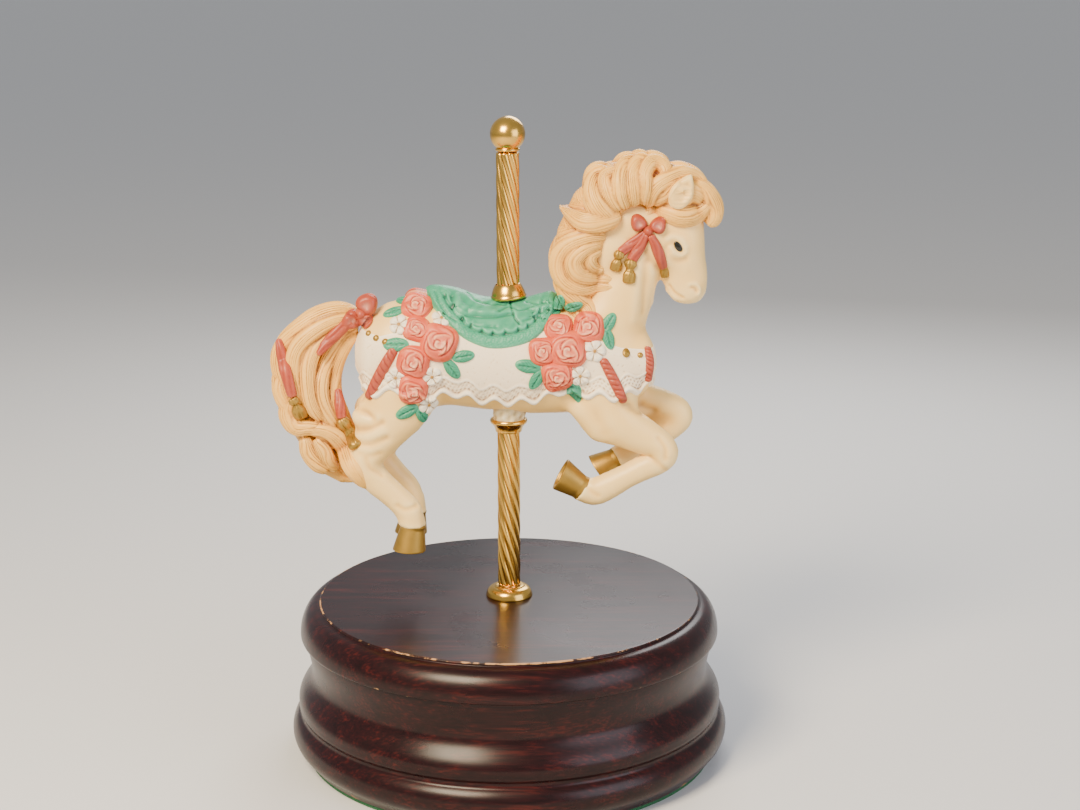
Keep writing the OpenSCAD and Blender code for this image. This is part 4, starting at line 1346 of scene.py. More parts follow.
@dataclass
class Hair:
    """The mane and the tail: a rolled mass with raked locks laid over it."""

    frame: dict
    mane: Sequence[Sequence[Sequence[float]]] = (
        # x, z, half width, half thickness, extra lift
        ((42.0, 164.0, 2.6, 2.0, -0.9), (46.4, 165.0, 3.6, 2.6, -0.9), (51.0, 165.4, 3.6, 2.6, -0.7),
         (54.6, 163.4, 2.4, 1.8, -0.7)),
        ((51.6, 168.0, 1.8, 1.4, 0.0), (55.0, 165.8, 2.5, 2.2, 0.1), (57.2, 162.2, 2.9, 2.6, 0.1),
         (57.6, 158.4, 2.6, 2.4, 0.1), (56.6, 155.4, 1.3, 1.3, 0.0)),
        ((38.4, 158.8, 0.9, 0.9, 0.3), (40.8, 161.2, 2.2, 1.8, 0.7), (44.6, 160.2, 3.1, 2.5, 0.9),
         (48.8, 159.0, 3.3, 2.7, 0.9), (52.6, 159.4, 3.0, 2.5, 0.6), (55.6, 161.8, 1.9, 1.7, 0.2),
         (56.6, 164.6, 0.8, 0.8, 0.0)),
        ((38.6, 161.4, 2.0, 1.4, 0.2), (40.6, 166.4, 2.5, 2.0, 0.3), (44.0, 169.4, 2.4, 2.0, 0.2),
         (48.4, 171.0, 2.2, 1.9, 0.0), (52.4, 169.6, 2.0, 1.8, 0.0), (55.2, 166.4, 1.8, 1.6, 0.0)),
        ((40.0, 162.4, 1.6, 1.3, 0.5), (43.0, 165.0, 2.3, 1.8, 0.5), (45.6, 167.4, 2.0, 1.6, 0.3),
         (47.0, 169.6, 1.4, 1.2, 0.1)),
        ((44.2, 170.2, 1.6, 1.3, 0.2), (43.2, 172.8, 2.2, 1.8, 0.1), (40.0, 173.8, 2.4, 2.0, 0.1),
         (38.0, 171.2, 2.2, 2.0, 0.5), (38.0, 166.8, 2.3, 2.0, 0.7), (37.6, 162.2, 1.8, 1.4, 0.3)),
        ((40.2, 172.2, 1.8, 1.3, -0.1), (37.0, 174.2, 2.4, 1.9, 0.0), (34.6, 171.6, 2.5, 2.1, 0.3),
         (34.4, 166.6, 2.7, 2.2, 0.5), (35.2, 161.8, 1.9, 1.5, 0.2)),
        ((36.0, 174.4, 1.8, 1.3, 0.0), (32.6, 173.2, 2.4, 2.0, 0.2), (31.2, 169.4, 2.5, 2.1, 0.7),
         (31.2, 165.2, 2.6, 2.2, 0.7), (33.0, 161.4, 1.9, 1.6, 0.2)),
        ((30.6, 171.8, 1.8, 1.4, 0.0), (27.4, 169.8, 2.3, 1.9, 0.1), (28.0, 165.4, 2.6, 2.1, 0.5),
         (31.0, 160.8, 1.9, 1.6, 0.2)),
        ((28.4, 171.4, 1.8, 1.4, 0.0), (24.6, 170.4, 2.5, 2.0, 0.1), (23.6, 166.4, 2.7, 2.3, 0.4),
         (25.4, 162.0, 2.9, 2.4, 0.7), (28.4, 158.2, 2.4, 1.9, 0.5), (29.2, 155.4, 1.3, 1.2, 0.2)),
        ((23.0, 168.0, 1.4, 1.2, 0.0), (22.8, 164.6, 2.0, 1.8, 0.2), (24.2, 160.8, 2.3, 2.0, 0.5),
         (26.8, 156.8, 1.8, 1.5, 0.4)),
        ((31.4, 159.6, 1.4, 1.2, 0.5), (28.6, 158.4, 2.5, 2.0, 1.0), (25.0, 157.7, 3.1, 2.3, 1.0),
         (21.0, 157.9, 3.0, 2.2, 0.8), (17.4, 159.3, 1.8, 1.7, -1.4), (14.4, 161.0, 0.4, 0.6, -3.2)),
        ((27.6, 153.2, 1.8, 1.5, 0.0), (22.0, 153.0, 2.7, 2.2, 0.3), (16.8, 150.6, 3.2, 2.5, 0.2),
         (14.6, 146.2, 3.2, 2.5, 0.2), (15.8, 141.6, 3.0, 2.5, 0.4), (20.2, 138.6, 2.6, 2.2, 0.6),
         (25.4, 138.8, 1.9, 1.6, 0.4), (30.8, 138.8, 0.7, 0.7, 0.1)),
        ((26.6, 151.8, 1.6, 1.3, 0.5), (21.8, 150.4, 2.4, 2.0, 0.9), (18.6, 146.8, 2.7, 2.2, 1.0),
         (19.8, 143.0, 2.7, 2.2, 1.0), (24.4, 141.4, 2.2, 1.8, 0.8), (29.6, 141.2, 1.2, 1.1, 0.3)),
        ((25.8, 150.0, 1.5, 1.2, 0.8), (22.9, 147.8, 2.0, 1.7, 1.2), (23.6, 144.8, 2.0, 1.7, 1.1),
         (27.0, 143.6, 1.3, 1.2, 0.6)),
        ((13.8, 142.8, 1.6, 1.4, 0.0), (15.6, 138.8, 2.5, 2.0, 0.2), (19.4, 136.0, 2.8, 2.2, 0.5),
         (22.6, 132.6, 2.4, 1.9, 0.4), (23.4, 128.6, 1.4, 1.2, 0.0)),
        ((14.6, 139.2, 1.5, 1.3, 0.0), (16.6, 135.6, 2.3, 1.9, 0.2), (19.6, 132.4, 2.3, 1.8, 0.3),
         (20.8, 128.8, 1.4, 1.2, 0.0)),
    )
    crest: Sequence[Sequence[float]] = (
        # the middle of the mane, from the forelock back: x, z, half height, half width
        (56.6, 157.6, 1.8, 3.0), (56.8, 161.0, 2.4, 3.6), (54.8, 165.0, 2.6, 3.8), (51.0, 168.0, 2.6, 3.8),
        (46.0, 170.2, 2.5, 3.6), (41.0, 172.2, 2.5, 3.6), (36.0, 172.6, 2.5, 3.6), (31.0, 170.8, 2.5, 3.6),
        (26.5, 168.6, 2.4, 3.6), (23.0, 165.2, 2.4, 3.4), (20.4, 160.0, 2.4, 3.4), (17.2, 154.0, 2.6, 3.6),
        (14.8, 148.0, 2.6, 3.6), (14.6, 142.0, 2.4, 3.4),
    )
    tail: Sequence[Sequence[Sequence[float]]] = (
        ((-42.0, 130.6, 1.6, 1.4, 0.0), (-48.6, 131.4, 2.2, 2.0, 0.2), (-54.6, 129.4, 2.6, 2.3, 0.2),
         (-60.0, 125.4, 2.8, 2.4, 0.1), (-64.3, 120.6, 2.8, 2.3, 0.0), (-65.0, 115.0, 2.5, 2.1, 0.0),
         (-63.6, 109.4, 1.5, 1.2, 0.0)),
        ((-42.4, 129.4, 1.6, 1.4, 0.3), (-49.0, 129.2, 2.2, 2.0, 0.6), (-55.0, 126.0, 2.5, 2.3, 0.7),
         (-59.6, 121.0, 2.6, 2.3, 0.6), (-61.0, 114.6, 2.6, 2.2, 0.5), (-60.2, 108.4, 2.3, 2.0, 0.4),
         (-58.6, 103.0, 1.3, 1.1, 0.2)),
        ((-42.6, 127.6, 1.5, 1.3, 0.4), (-49.0, 126.6, 2.1, 1.9, 0.7), (-53.6, 123.0, 2.4, 2.2, 0.9),
         (-56.4, 117.6, 2.5, 2.2, 0.9), (-57.0, 111.6, 2.4, 2.1, 0.8), (-56.0, 105.6, 2.3, 2.0, 0.8),
         (-53.0, 100.4, 1.8, 1.5, 0.5)),
        ((-42.6, 126.4, 1.4, 1.2, 0.2), (-47.4, 123.8, 2.0, 1.8, 0.5), (-51.0, 119.0, 2.3, 2.1, 0.7),
         (-53.0, 113.4, 2.3, 2.0, 0.8), (-53.2, 107.6, 2.3, 2.0, 0.8), (-51.6, 102.0, 2.2, 1.9, 0.8),
         (-48.6, 97.0, 1.8, 1.5, 0.5)),
        ((-42.8, 125.0, 1.2, 1.1, 0.0), (-46.2, 121.4, 1.9, 1.8, 0.1), (-48.8, 116.4, 2.1, 1.9, 0.2),
         (-50.0, 110.8, 2.1, 1.9, 0.3), (-50.0, 105.2, 2.1, 1.9, 0.5), (-48.2, 99.6, 2.3, 2.0, 0.7),
         (-46.0, 93.6, 2.6, 2.2, 0.9), (-45.0, 88.6, 2.4, 2.0, 0.9), (-43.0, 84.0, 1.2, 1.0, 0.4)),
        ((-65.3, 114.6, 2.0, 1.6, 0.0), (-64.8, 109.4, 2.6, 2.4, 0.0), (-62.8, 104.6, 2.6, 2.2, 0.2),
         (-59.4, 100.6, 1.8, 1.5, 0.2)),
        ((-61.4, 106.8, 1.8, 1.4, 0.3), (-62.8, 102.6, 2.9, 2.6, 0.3), (-60.6, 98.8, 2.9, 2.6, 0.5),
         (-56.6, 98.4, 2.2, 2.0, 0.6), (-52.0, 97.6, 1.8, 1.6, 0.4)),
        ((-57.6, 97.4, 1.4, 1.2, 0.8), (-53.4, 97.6, 2.2, 1.9, 1.1), (-49.4, 95.6, 2.8, 2.3, 1.3),
         (-46.4, 91.6, 3.2, 2.5, 1.3), (-44.0, 87.0, 2.8, 2.2, 1.0), (-41.8, 83.2, 1.7, 1.4, 0.5),
         (-40.4, 81.0, 0.6, 0.6, 0.0)),
        ((-58.4, 95.8, 1.6, 1.4, 0.2), (-57.2, 91.6, 2.9, 2.5, 0.3), (-54.6, 87.6, 3.0, 2.6, 0.4),
         (-51.4, 85.6, 2.0, 1.8, 0.2)),
        ((-55.0, 95.4, 1.3, 1.2, 0.6), (-53.0, 91.6, 2.3, 2.0, 0.9), (-51.4, 87.6, 2.2, 1.9, 0.7),
         (-49.6, 84.8, 1.2, 1.1, 0.2)),
    )

    core_in: float = 1.4
    voxel: float = 0.3
    groove: float = 0.12

    def build(self, body: bpy.types.Mesh) -> tuple[bpy.types.Mesh, bpy.types.Mesh]:
        """Lays, fuses and shows the mane and the tail.

        Args:
            body: the horse's mesh.

        Returns:
            The mane's and the tail's meshes.
        """
        made = []
        for node, locks, strands in (("mane", self.mane, 6.0), ("tail", self.tail, 5.0)):
            rough = node_copy(self.frame, node)
            skin = Skin(rough, body)
            core = fused("core", [rough], 0.7, 3)
            set_points(core, points_of(core) - self.core_in * normals_of(core))
            parts, spines = [core], []
            if node == "mane":
                parts += [lump(x, 0.0, z, r, w, r, 0.0) for x, z, r, w in smooth_path(self.crest, 44)]
            for side in Side:
                for k, path in enumerate(locks):
                    lock = Strand(path, ridges=strands, depth=0.16, lift=-0.7, blunt=0.6)
                    parts.append(lock.mesh(skin, side, "lock"))
                    spines.append((lock.spine(skin, side), strands + k % 3, side))
            mesh = fused("horse_" + node, parts, self.voxel, 2)
            self.comb(mesh, spines)
            mark_relief(mesh, 26, 0.42, 0.52)
            show(mesh, "horse_" + node, "carousel", "tan_hair_glaze", node)
            made.append(mesh)
        return made[0], made[1]

    def comb(self, mesh: bpy.types.Mesh, spines: Sequence[tuple[Array, float, Side]]) -> None:
        """Rakes the strands into the fused hair and marks them for the finish.

        Args:
            mesh: the fused hair.
            spines: each lock's middle line, its count of strands and its side.
        """
        points = points_of(mesh)
        best = np.full(len(points), 1e9)
        phase = np.zeros(len(points))
        for data, count, side in spines:
            here = np.flatnonzero(points[:, 1] * side.value > -1.0)
            spots = points[here]
            far = ((spots[:, None, :] - data[None, :, :3]) ** 2).sum(2)
            pick = far.argmin(1)
            row = data[pick]
            off = spots - row[:, :3]
            wide = (off * row[:, 3:6]).sum(1) / row[:, 9]
            high = (off * row[:, 6:9]).sum(1) / row[:, 10]
            reach = np.maximum(np.hypot(wide, high), 0.8 * np.sqrt(far.min(1)) / row[:, 9])
            won = reach < best[here]
            best[here] = np.where(won, reach, best[here])
            wander = 0.3 * np.sin(0.21 * pick + count)
            uneven = wide + 0.17 * np.sin(4.3 * wide + 2.1 * count)
            phase[here] = np.where(won, 0.5 * count * uneven + wander, phase[here])
        wave = 0.5 - np.abs(np.mod(phase, 1) - 0.5)
        cut = np.clip((wave - 0.22) / 0.28, 0, 1)
        set_points(mesh, points - normals_of(mesh) * (self.groove * cut)[:, None])
        mesh.attributes.new("strand", "FLOAT", "POINT").data.foreach_set("value", phase)


@dataclass
class Saddle:
    """The draped saddle cloth: a stippled border roll, a scalloped seat edge and soft folds."""

    border: Sequence[tuple[float, float]] = (
        (-24.8, 137.0), (-20.6, 133.0), (-16.4, 129.0), (-12.5, 125.6), (-8.4, 123.6), (-4.7, 122.7),
        (0.2, 122.9), (6.0, 124.4), (10.0, 127.2), (12.9, 131.3), (14.0, 136.0),
    )
    ridge: Sequence[tuple[float, float]] = (
        (-24.8, 136.6), (-22.0, 138.6), (-17.0, 138.4), (-12.0, 137.0), (-8.0, 135.6), (-3.0, 135.0),
        (4.0, 135.0), (9.0, 136.2), (12.0, 136.9), (14.0, 135.8),
    )
    folds: Creases = (
        (((-15.8, 136.2), (-14.7, 133.4), (-10.8, 131.5), (-4.0, 131.2), (1.0, 131.8)), 0.7, -0.6),
        (((-14.4, 136.4), (-13.0, 134.2), (-9.6, 132.8), (-4.0, 132.4)), 0.8, 0.35),
        (((11.8, 134.2), (10.0, 132.4), (7.2, 131.4)), 0.65, -0.4),
        (((11.6, 134.8), (8.8, 134.2), (5.4, 134.4)), 0.6, -0.35),
        (((11.8, 133.4), (11.0, 131.6), (9.8, 130.2)), 0.6, -0.3),
        (((11.8, 134.0), (9.0, 133.2), (6.4, 133.0)), 0.5, 0.3),
        (((0.5, 134.4), (1.3, 132.4), (1.9, 130.8), (3.2, 129.3)), 0.3, -0.4),
        (((-11.3, 136.6), (-8.6, 134.9), (-5.0, 134.0), (-0.7, 133.9)), 0.65, -0.4),
        (((-2.3, 132.6), (0.5, 133.5), (3.8, 132.7), (6.8, 133.4)), 0.5, -0.35),
        (((-20.4, 137.4), (-19.0, 134.6), (-16.8, 131.8), (-14.6, 130.4)), 0.6, -0.4),
        (((-18.2, 137.4), (-17.2, 135.6), (-16.0, 133.6)), 0.6, -0.3),
        (((-12.6, 130.6), (-8.6, 129.0), (-3.4, 128.6)), 0.6, -0.3),
        (((4.4, 130.2), (7.6, 131.0), (9.6, 130.8)), 0.5, -0.3),
    )
    torso: Sequence[tuple[float, float, float, float]] = (
        # the body under it: x, middle height, half height, half width
        (-34.0, 118.5, 15.0, 12.0), (-26.0, 118.8, 16.4, 12.8), (-17.0, 119.0, 15.0, 12.5),
        (-8.0, 118.0, 15.2, 12.5), (4.0, 117.0, 15.6, 12.5), (16.0, 117.0, 15.4, 12.2),
        (26.0, 117.0, 14.8, 11.6),
    )
    back: float = -24.8
    length: float = 38.8
    scallop: float = 4.2

    def build(self) -> None:
        """Drapes and shows the saddle."""
        border = smooth_path(self.border, 90)
        ridge = smooth_path(self.ridge, 90)
        torso = np.asarray(self.torso)

        def section(x: Array) -> tuple[Array, Array, Array]:
            """Middle height, half height and half width of the body at x."""
            return tuple(np.interp(x, torso[:, 0], torso[:, k]) for k in (1, 2, 3))

        mid_b, half_b, wide_b = section(border[:, 0])
        angle_b = np.arcsin(np.clip((border[:, 1] - mid_b) / (half_b + 0.6), -1, 1))
        line = np.stack([border[:, 0], (np.pi / 2 - angle_b) * 0.5 * (half_b + wide_b)], axis=1)

        def spread(u: Array, v: Array) -> tuple[Array, Array, Array, Array]:
            """Gives x, the angle round the body, the way down from the ridge, and the side."""
            eased = 0.5 - 0.5 * np.cos(np.pi * u)
            x = self.back + self.length * eased * 0.6 + self.length * u * 0.4
            low = np.interp(x, border[:, 0], angle_b)
            side = np.where(v < 0.5, -1.0, 1.0)
            share = np.abs(v - 0.5) * 2
            angle = np.pi / 2 - (np.pi / 2 - low) * share
            _, half, wide = section(x)
            down = (np.pi / 2 - angle) * 0.5 * (half + wide)
            return x, angle, down, side

        def height(x: Array, down: Array) -> Array:
            """Gives the cloth's height over the body."""
            gap = np.full(len(x), 1e9)
            way = np.zeros(len(x))
            run = np.concatenate([[0], np.cumsum(np.linalg.norm(np.diff(line, axis=0), axis=1))])
            for i in range(len(line) - 1):
                a, d = line[i], line[i + 1] - line[i]
                t = np.clip(((x - a[0]) * d[0] + (down - a[1]) * d[1]) / (d @ d), 0, 1)
                far = np.hypot(x - a[0] - t * d[0], down - a[1] - t * d[1])
                closer = far < gap
                gap = np.where(closer, far, gap)
                way = np.where(closer, run[i] + t * (run[i + 1] - run[i]), way)
            roll = 1.15 * np.sqrt(np.clip(1 - ((gap - 1.7) / 1.9) ** 2, 0, 1))
            stipple = 0.07 * np.sin(5.1 * way + 2 * np.sin(3 * gap))
            stipple *= np.sin(6.3 * gap + 1.7 * np.sin(2 * way))
            lobe = np.abs(np.sin(np.pi * way / self.scallop))
            edge = 3.5 + 0.8 * (1 - lobe**0.7)
            step = 1 / (1 + np.exp(-(gap - edge) / 0.14))
            inside = np.clip(np.minimum(way, run[-1] - way) / 9.0 - 0.45, 0, 1)
            notch = 0.3 * np.exp(-(((gap - edge + 0.2) / 0.4) ** 2)) * (1 - lobe) ** 3 * inside
            step = step * inside + (1 - inside) * np.clip((gap - 1.5) / 3.0, 0, 1)
            sag = 0.22 * np.sin(0.8 * gap + 0.4 * np.sin(0.4 * x))
            sag += 0.12 * np.sin(0.7 * x + 1.4 * np.sin(0.5 * down))
            crumple = 0.13 * np.sin(1.3 * x + 2.0 * np.sin(0.45 * down + 0.3 * x))
            crumple *= np.sin(0.9 * down + 0.5 * x)
            seat = 1.55 + (sag + crumple) * np.clip((gap - edge) / 2.0, 0, 1)
            cloth = seat * step + (np.maximum(roll, 0.5) + stipple) * (1 - step)
            worked = cloth * np.clip(gap / 0.5, 0, 1) ** 0.5 - notch - 0.5 * (gap < 0.05)
            crest = np.clip((down - 0.8) / 3.0, 0, 1)
            return worked * crest + 1.5 * (1 - crest)

        def place(u: Array, v: Array) -> Array:
            """Lays the cloth over the back."""
            x, angle, down, side = spread(u, v)
            mid, half, wide = section(x)
            rise = np.interp(x, ridge[:, 0], ridge[:, 1]) - (mid + half) - 1.7
            up = height(x, down)
            lift = rise * np.clip(np.sin(angle), 0, 1) ** 6
            y = side * np.cos(angle) * (wide + 0.1 + up)
            z = mid + np.sin(angle) * (half + 0.1 + up) + lift * np.clip((up + 0.3) / 1.2, 0, 1)
            return np.stack([x, y, z], axis=1)

        mesh = moved_grid("saddle_cloth", 214, 228, place)
        crease(mesh, self.folds)
        mesh = modified(mesh, ("SOLIDIFY", {"thickness": 0.9 * MM, "offset": -1.0}))
        mark_relief(mesh, 12, 0.22, 0.55)
        show(mesh, "saddle_cloth", "carousel", "jade_glaze", "saddle")


@dataclass
class LaceBlanket:
    """The white blanket round the body: two raised cords with netting between them."""

    front: float = 29.0
    back: float = -33.0
    hem: Sequence[tuple[float, float]] = (
        (-60.0, 112.0), (-44.0, 109.6), (-38.0, 109.2), (-30.0, 110.6), (-22.0, 108.4), (-15.0, 109.0),
        (-8.0, 106.8), (0.0, 106.2), (8.0, 107.2), (15.0, 110.0), (22.0, 109.0), (30.0, 108.4),
        (40.0, 110.6), (60.0, 112.0),
    )
    top: Sequence[tuple[float, float]] = (
        (-60.0, 127.0), (-44.0, 127.0), (-36.0, 126.0), (-26.0, 128.5), (-16.0, 129.5), (-4.0, 130.0),
        (10.0, 130.0), (22.0, 126.0), (32.0, 122.6), (40.0, 121.6), (60.0, 121.6),
    )
    bow: float = 11.0
    scallop: float = 7.4

    def build(self, body: bpy.types.Mesh) -> bpy.types.Mesh:
        """Wraps and shows the blanket.

        Args:
            body: the horse's mesh.

        Returns:
            The blanket's mesh.
        """
        skin = Skin(body)
        straight = self.front - self.back
        bow = self.bow
        arc = math.pi * bow
        loop = 2 * straight + 2 * arc

        def ground(u: Array) -> tuple[Array, Array, Array, Array]:
            """Gives the plan point, its outward way and a mirrored run along the body."""
            s = u * loop
            near, chest, far = s < straight, s < straight + arc, s < 2 * straight + arc
            turn = np.where(chest, (s - straight) / bow, (s - 2 * straight - arc) / bow)
            forth, home = self.back + s, self.front - (s - straight - arc)
            round_end = bow * np.minimum(turn, np.pi - turn)
            parts = [near, chest, far]
            x = np.select(parts, [forth, self.front, home], self.back)
            ox = np.select(parts, [0.0, np.sin(turn), 0.0], -np.sin(turn))
            oy = np.select(parts, [-1.0, -np.cos(turn), 1.0], np.cos(turn))
            run = np.select(parts, [forth, self.front + round_end, home], self.back - round_end)
            return x, ox, oy, run

        def edges(run: Array) -> tuple[Array, Array]:
            """Gives the hem's and the top's height."""
            hem = np.asarray(self.hem)
            top = np.asarray(self.top)
            low = np.interp(run, hem[:, 0], hem[:, 1]) - 1.1 * np.cos(2 * np.pi * run / self.scallop)
            return low, np.interp(run, top[:, 0], top[:, 1])

        def place(u: Array, v: Array) -> Array:
            """Casts the sheet onto the body and raises its work."""
            x, ox, oy, run = ground(u)
            low, high = edges(run)
            z = low - 0.5 + (high - low + 0.5) * v
            start = np.stack([x + 30 * ox, 30 * oy, z], axis=1)
            way = np.stack([-ox, -oy, np.zeros_like(ox)], axis=1)
            spot, out, landed = skin.hit(start, way)
            flat = np.stack([x + 9.0 * ox, 9.0 * oy, z], axis=1)
            spot = np.where(landed[:, None], spot, flat)
            t = z - low
            hemmed = 0.95 * np.sqrt(np.clip(1 - ((t - 0.75) / 0.85) ** 2, 0, 1))
            wavy = 5.0 + 0.45 * np.cos(2 * np.pi * run / self.scallop) + 0.25 * np.sin(run)
            cord = 0.5 * np.sqrt(np.clip(1 - ((t - wavy) / 0.55) ** 2, 0, 1))
            net = (t > 1.5) & (t < wavy - 0.3)
            mesh_x, mesh_z = run / 1.15, (t + 0.3 * np.sin(run)) / 0.95
            pit = np.abs(np.sin(np.pi * (mesh_x + 0.5 * np.floor(mesh_z))) * np.sin(np.pi * mesh_z))
            netting = np.where(net, 0.32 * (1 - pit), 0.32)
            plain = 0.3 * (1 - np.clip((v - 0.86) / 0.14, 0, 1))
            prick = (np.sin(run * 2.1 + 3 * np.sin(z * 1.3)) * np.sin(z * 1.9 + 2 * np.sin(run * 0.9))) > 0.93
            up = np.maximum.reduce([hemmed, cord, np.where(t > wavy, plain - 0.16 * prick, netting)])
            up = np.where(v <= 0.001, -0.5, up)
            up = np.where(v >= 0.999, -0.15, up)
            return spot + out * up[:, None]

        mesh = moved_grid("lace_blanket_sheet", 700, 56, place)
        mesh = modified(mesh, ("SOLIDIFY", {"thickness": 0.5 * MM, "offset": -1.0}))
        mark_relief(mesh, 8, 0.16, 0.55)
        show(mesh, "lace_blanket_sheet", "carousel", "white_lace_glaze", "lace_blanket")
        return mesh


@dataclass
class Flowers:
    """The rose clusters with their daisies and leaves, on both flanks."""

    roses: Sequence[tuple[float, float, float]] = (
        # x, z, radius
        (-25.6, 133.4, 4.3), (-25.4, 128.0, 3.7), (-19.2, 124.4, 5.2), (-26.3, 119.0, 4.6),
        (-26.5, 111.0, 4.1),
        (14.2, 128.0, 4.0), (22.7, 128.1, 4.4), (9.8, 121.9, 3.9), (16.8, 122.2, 5.1),
        (13.9, 114.9, 4.4),
    )
    daisies: Sequence[tuple[float, float, float]] = (
        (-30.4, 129.0, 2.6), (-18.6, 130.6, 2.5), (-31.5, 114.3, 2.6), (-21.2, 114.9, 2.6),
        (-22.4, 106.4, 2.7), (24.3, 121.9, 2.8), (20.2, 114.9, 2.6),
    )
    leaves: Sequence[tuple[float, float, float, float]] = (
        # x, z, half length, turn
        (-32.0, 132.0, 2.9, 195.0), (-29.8, 134.2, 2.2, 140.0), (-31.2, 123.8, 3.2, 182.0),
        (-15.6, 117.0, 2.9, -55.0), (-12.4, 120.6, 2.8, 10.0), (-28.4, 104.6, 3.0, 205.0),
        (-24.2, 103.0, 2.6, -60.0), (28.2, 129.2, 2.9, 60.0), (28.2, 125.0, 2.7, -75.0),
        (5.6, 117.8, 3.1, 170.0), (8.0, 113.8, 2.8, 240.0), (18.8, 110.2, 2.9, -62.0),
        (18.4, 133.6, 2.5, 25.0), (14.4, 134.2, 2.5, 75.0), (12.6, 131.2, 2.3, 215.0),
    )
    studs: Sequence[tuple[float, float, float]] = (
        (-39.2, 126.2, 0.9), (-36.9, 125.2, 0.95), (-34.2, 124.4, 1.05), (33.2, 121.0, 1.15),
        (37.2, 120.2, 0.85),
    )

    def build(self, skin: Skin) -> None:
        """Raises and shows every flower, leaf and stud.

        Args:
            skin: the dressed horse.
        """
        roses, daisies, leaves, studs = [], [], [], []
        for side in Side:
            for k, (x, z, r) in enumerate(self.roses):
                rose = Rose(x, z, 1.08 * r, 1.08 * r, turn=47.0 * k, rise=0.6 * r, foot=2.2, steps=(80, 58))
                roses.append(rose.mesh(skin, side, "rose"))
            for k, (x, z, r) in enumerate(self.daisies):
                daisy = Daisy(x, z, 1.16 * r, 1.16 * r, turn=19.0 * k, rise=1.15, steps=(60, 28))
                daisies.append(daisy.mesh(skin, side, "daisy"))
            for x, z, r, turn in self.leaves:
                leaf = Leaf(x, z, 1.18 * r, r * 1.1, turn=turn, rise=0.95, face_on=0.3)
                leaves.append(leaf.mesh(skin, side, "leaf"))
            for x, z, r in self.studs:
                stud = Stud(x, z, r, r, rise=0.75 * r, face_on=0.1, steps=(24, 12))
                studs.append(stud.mesh(skin, side, "stud"))
        for name, slot, node, parts, reach, depth in (
            ("coral_roses", "coral_rose_glaze", "roses", roses, 7, 0.17),
            ("white_daisies", "white_lace_glaze", "daisies", daisies, 5, 0.2),
            ("jade_leaves", "jade_glaze", "leaves", leaves, 5, 0.16),
            ("gold_studs", "gold_lustre", "studs", studs, 3, 0.2),
        ):
            mesh = joined(name, parts)
            mark_relief(mesh, reach, depth, 0.45)
            show(mesh, name, "carousel", slot, node, finish=DAISY if node == "daisies" else None)


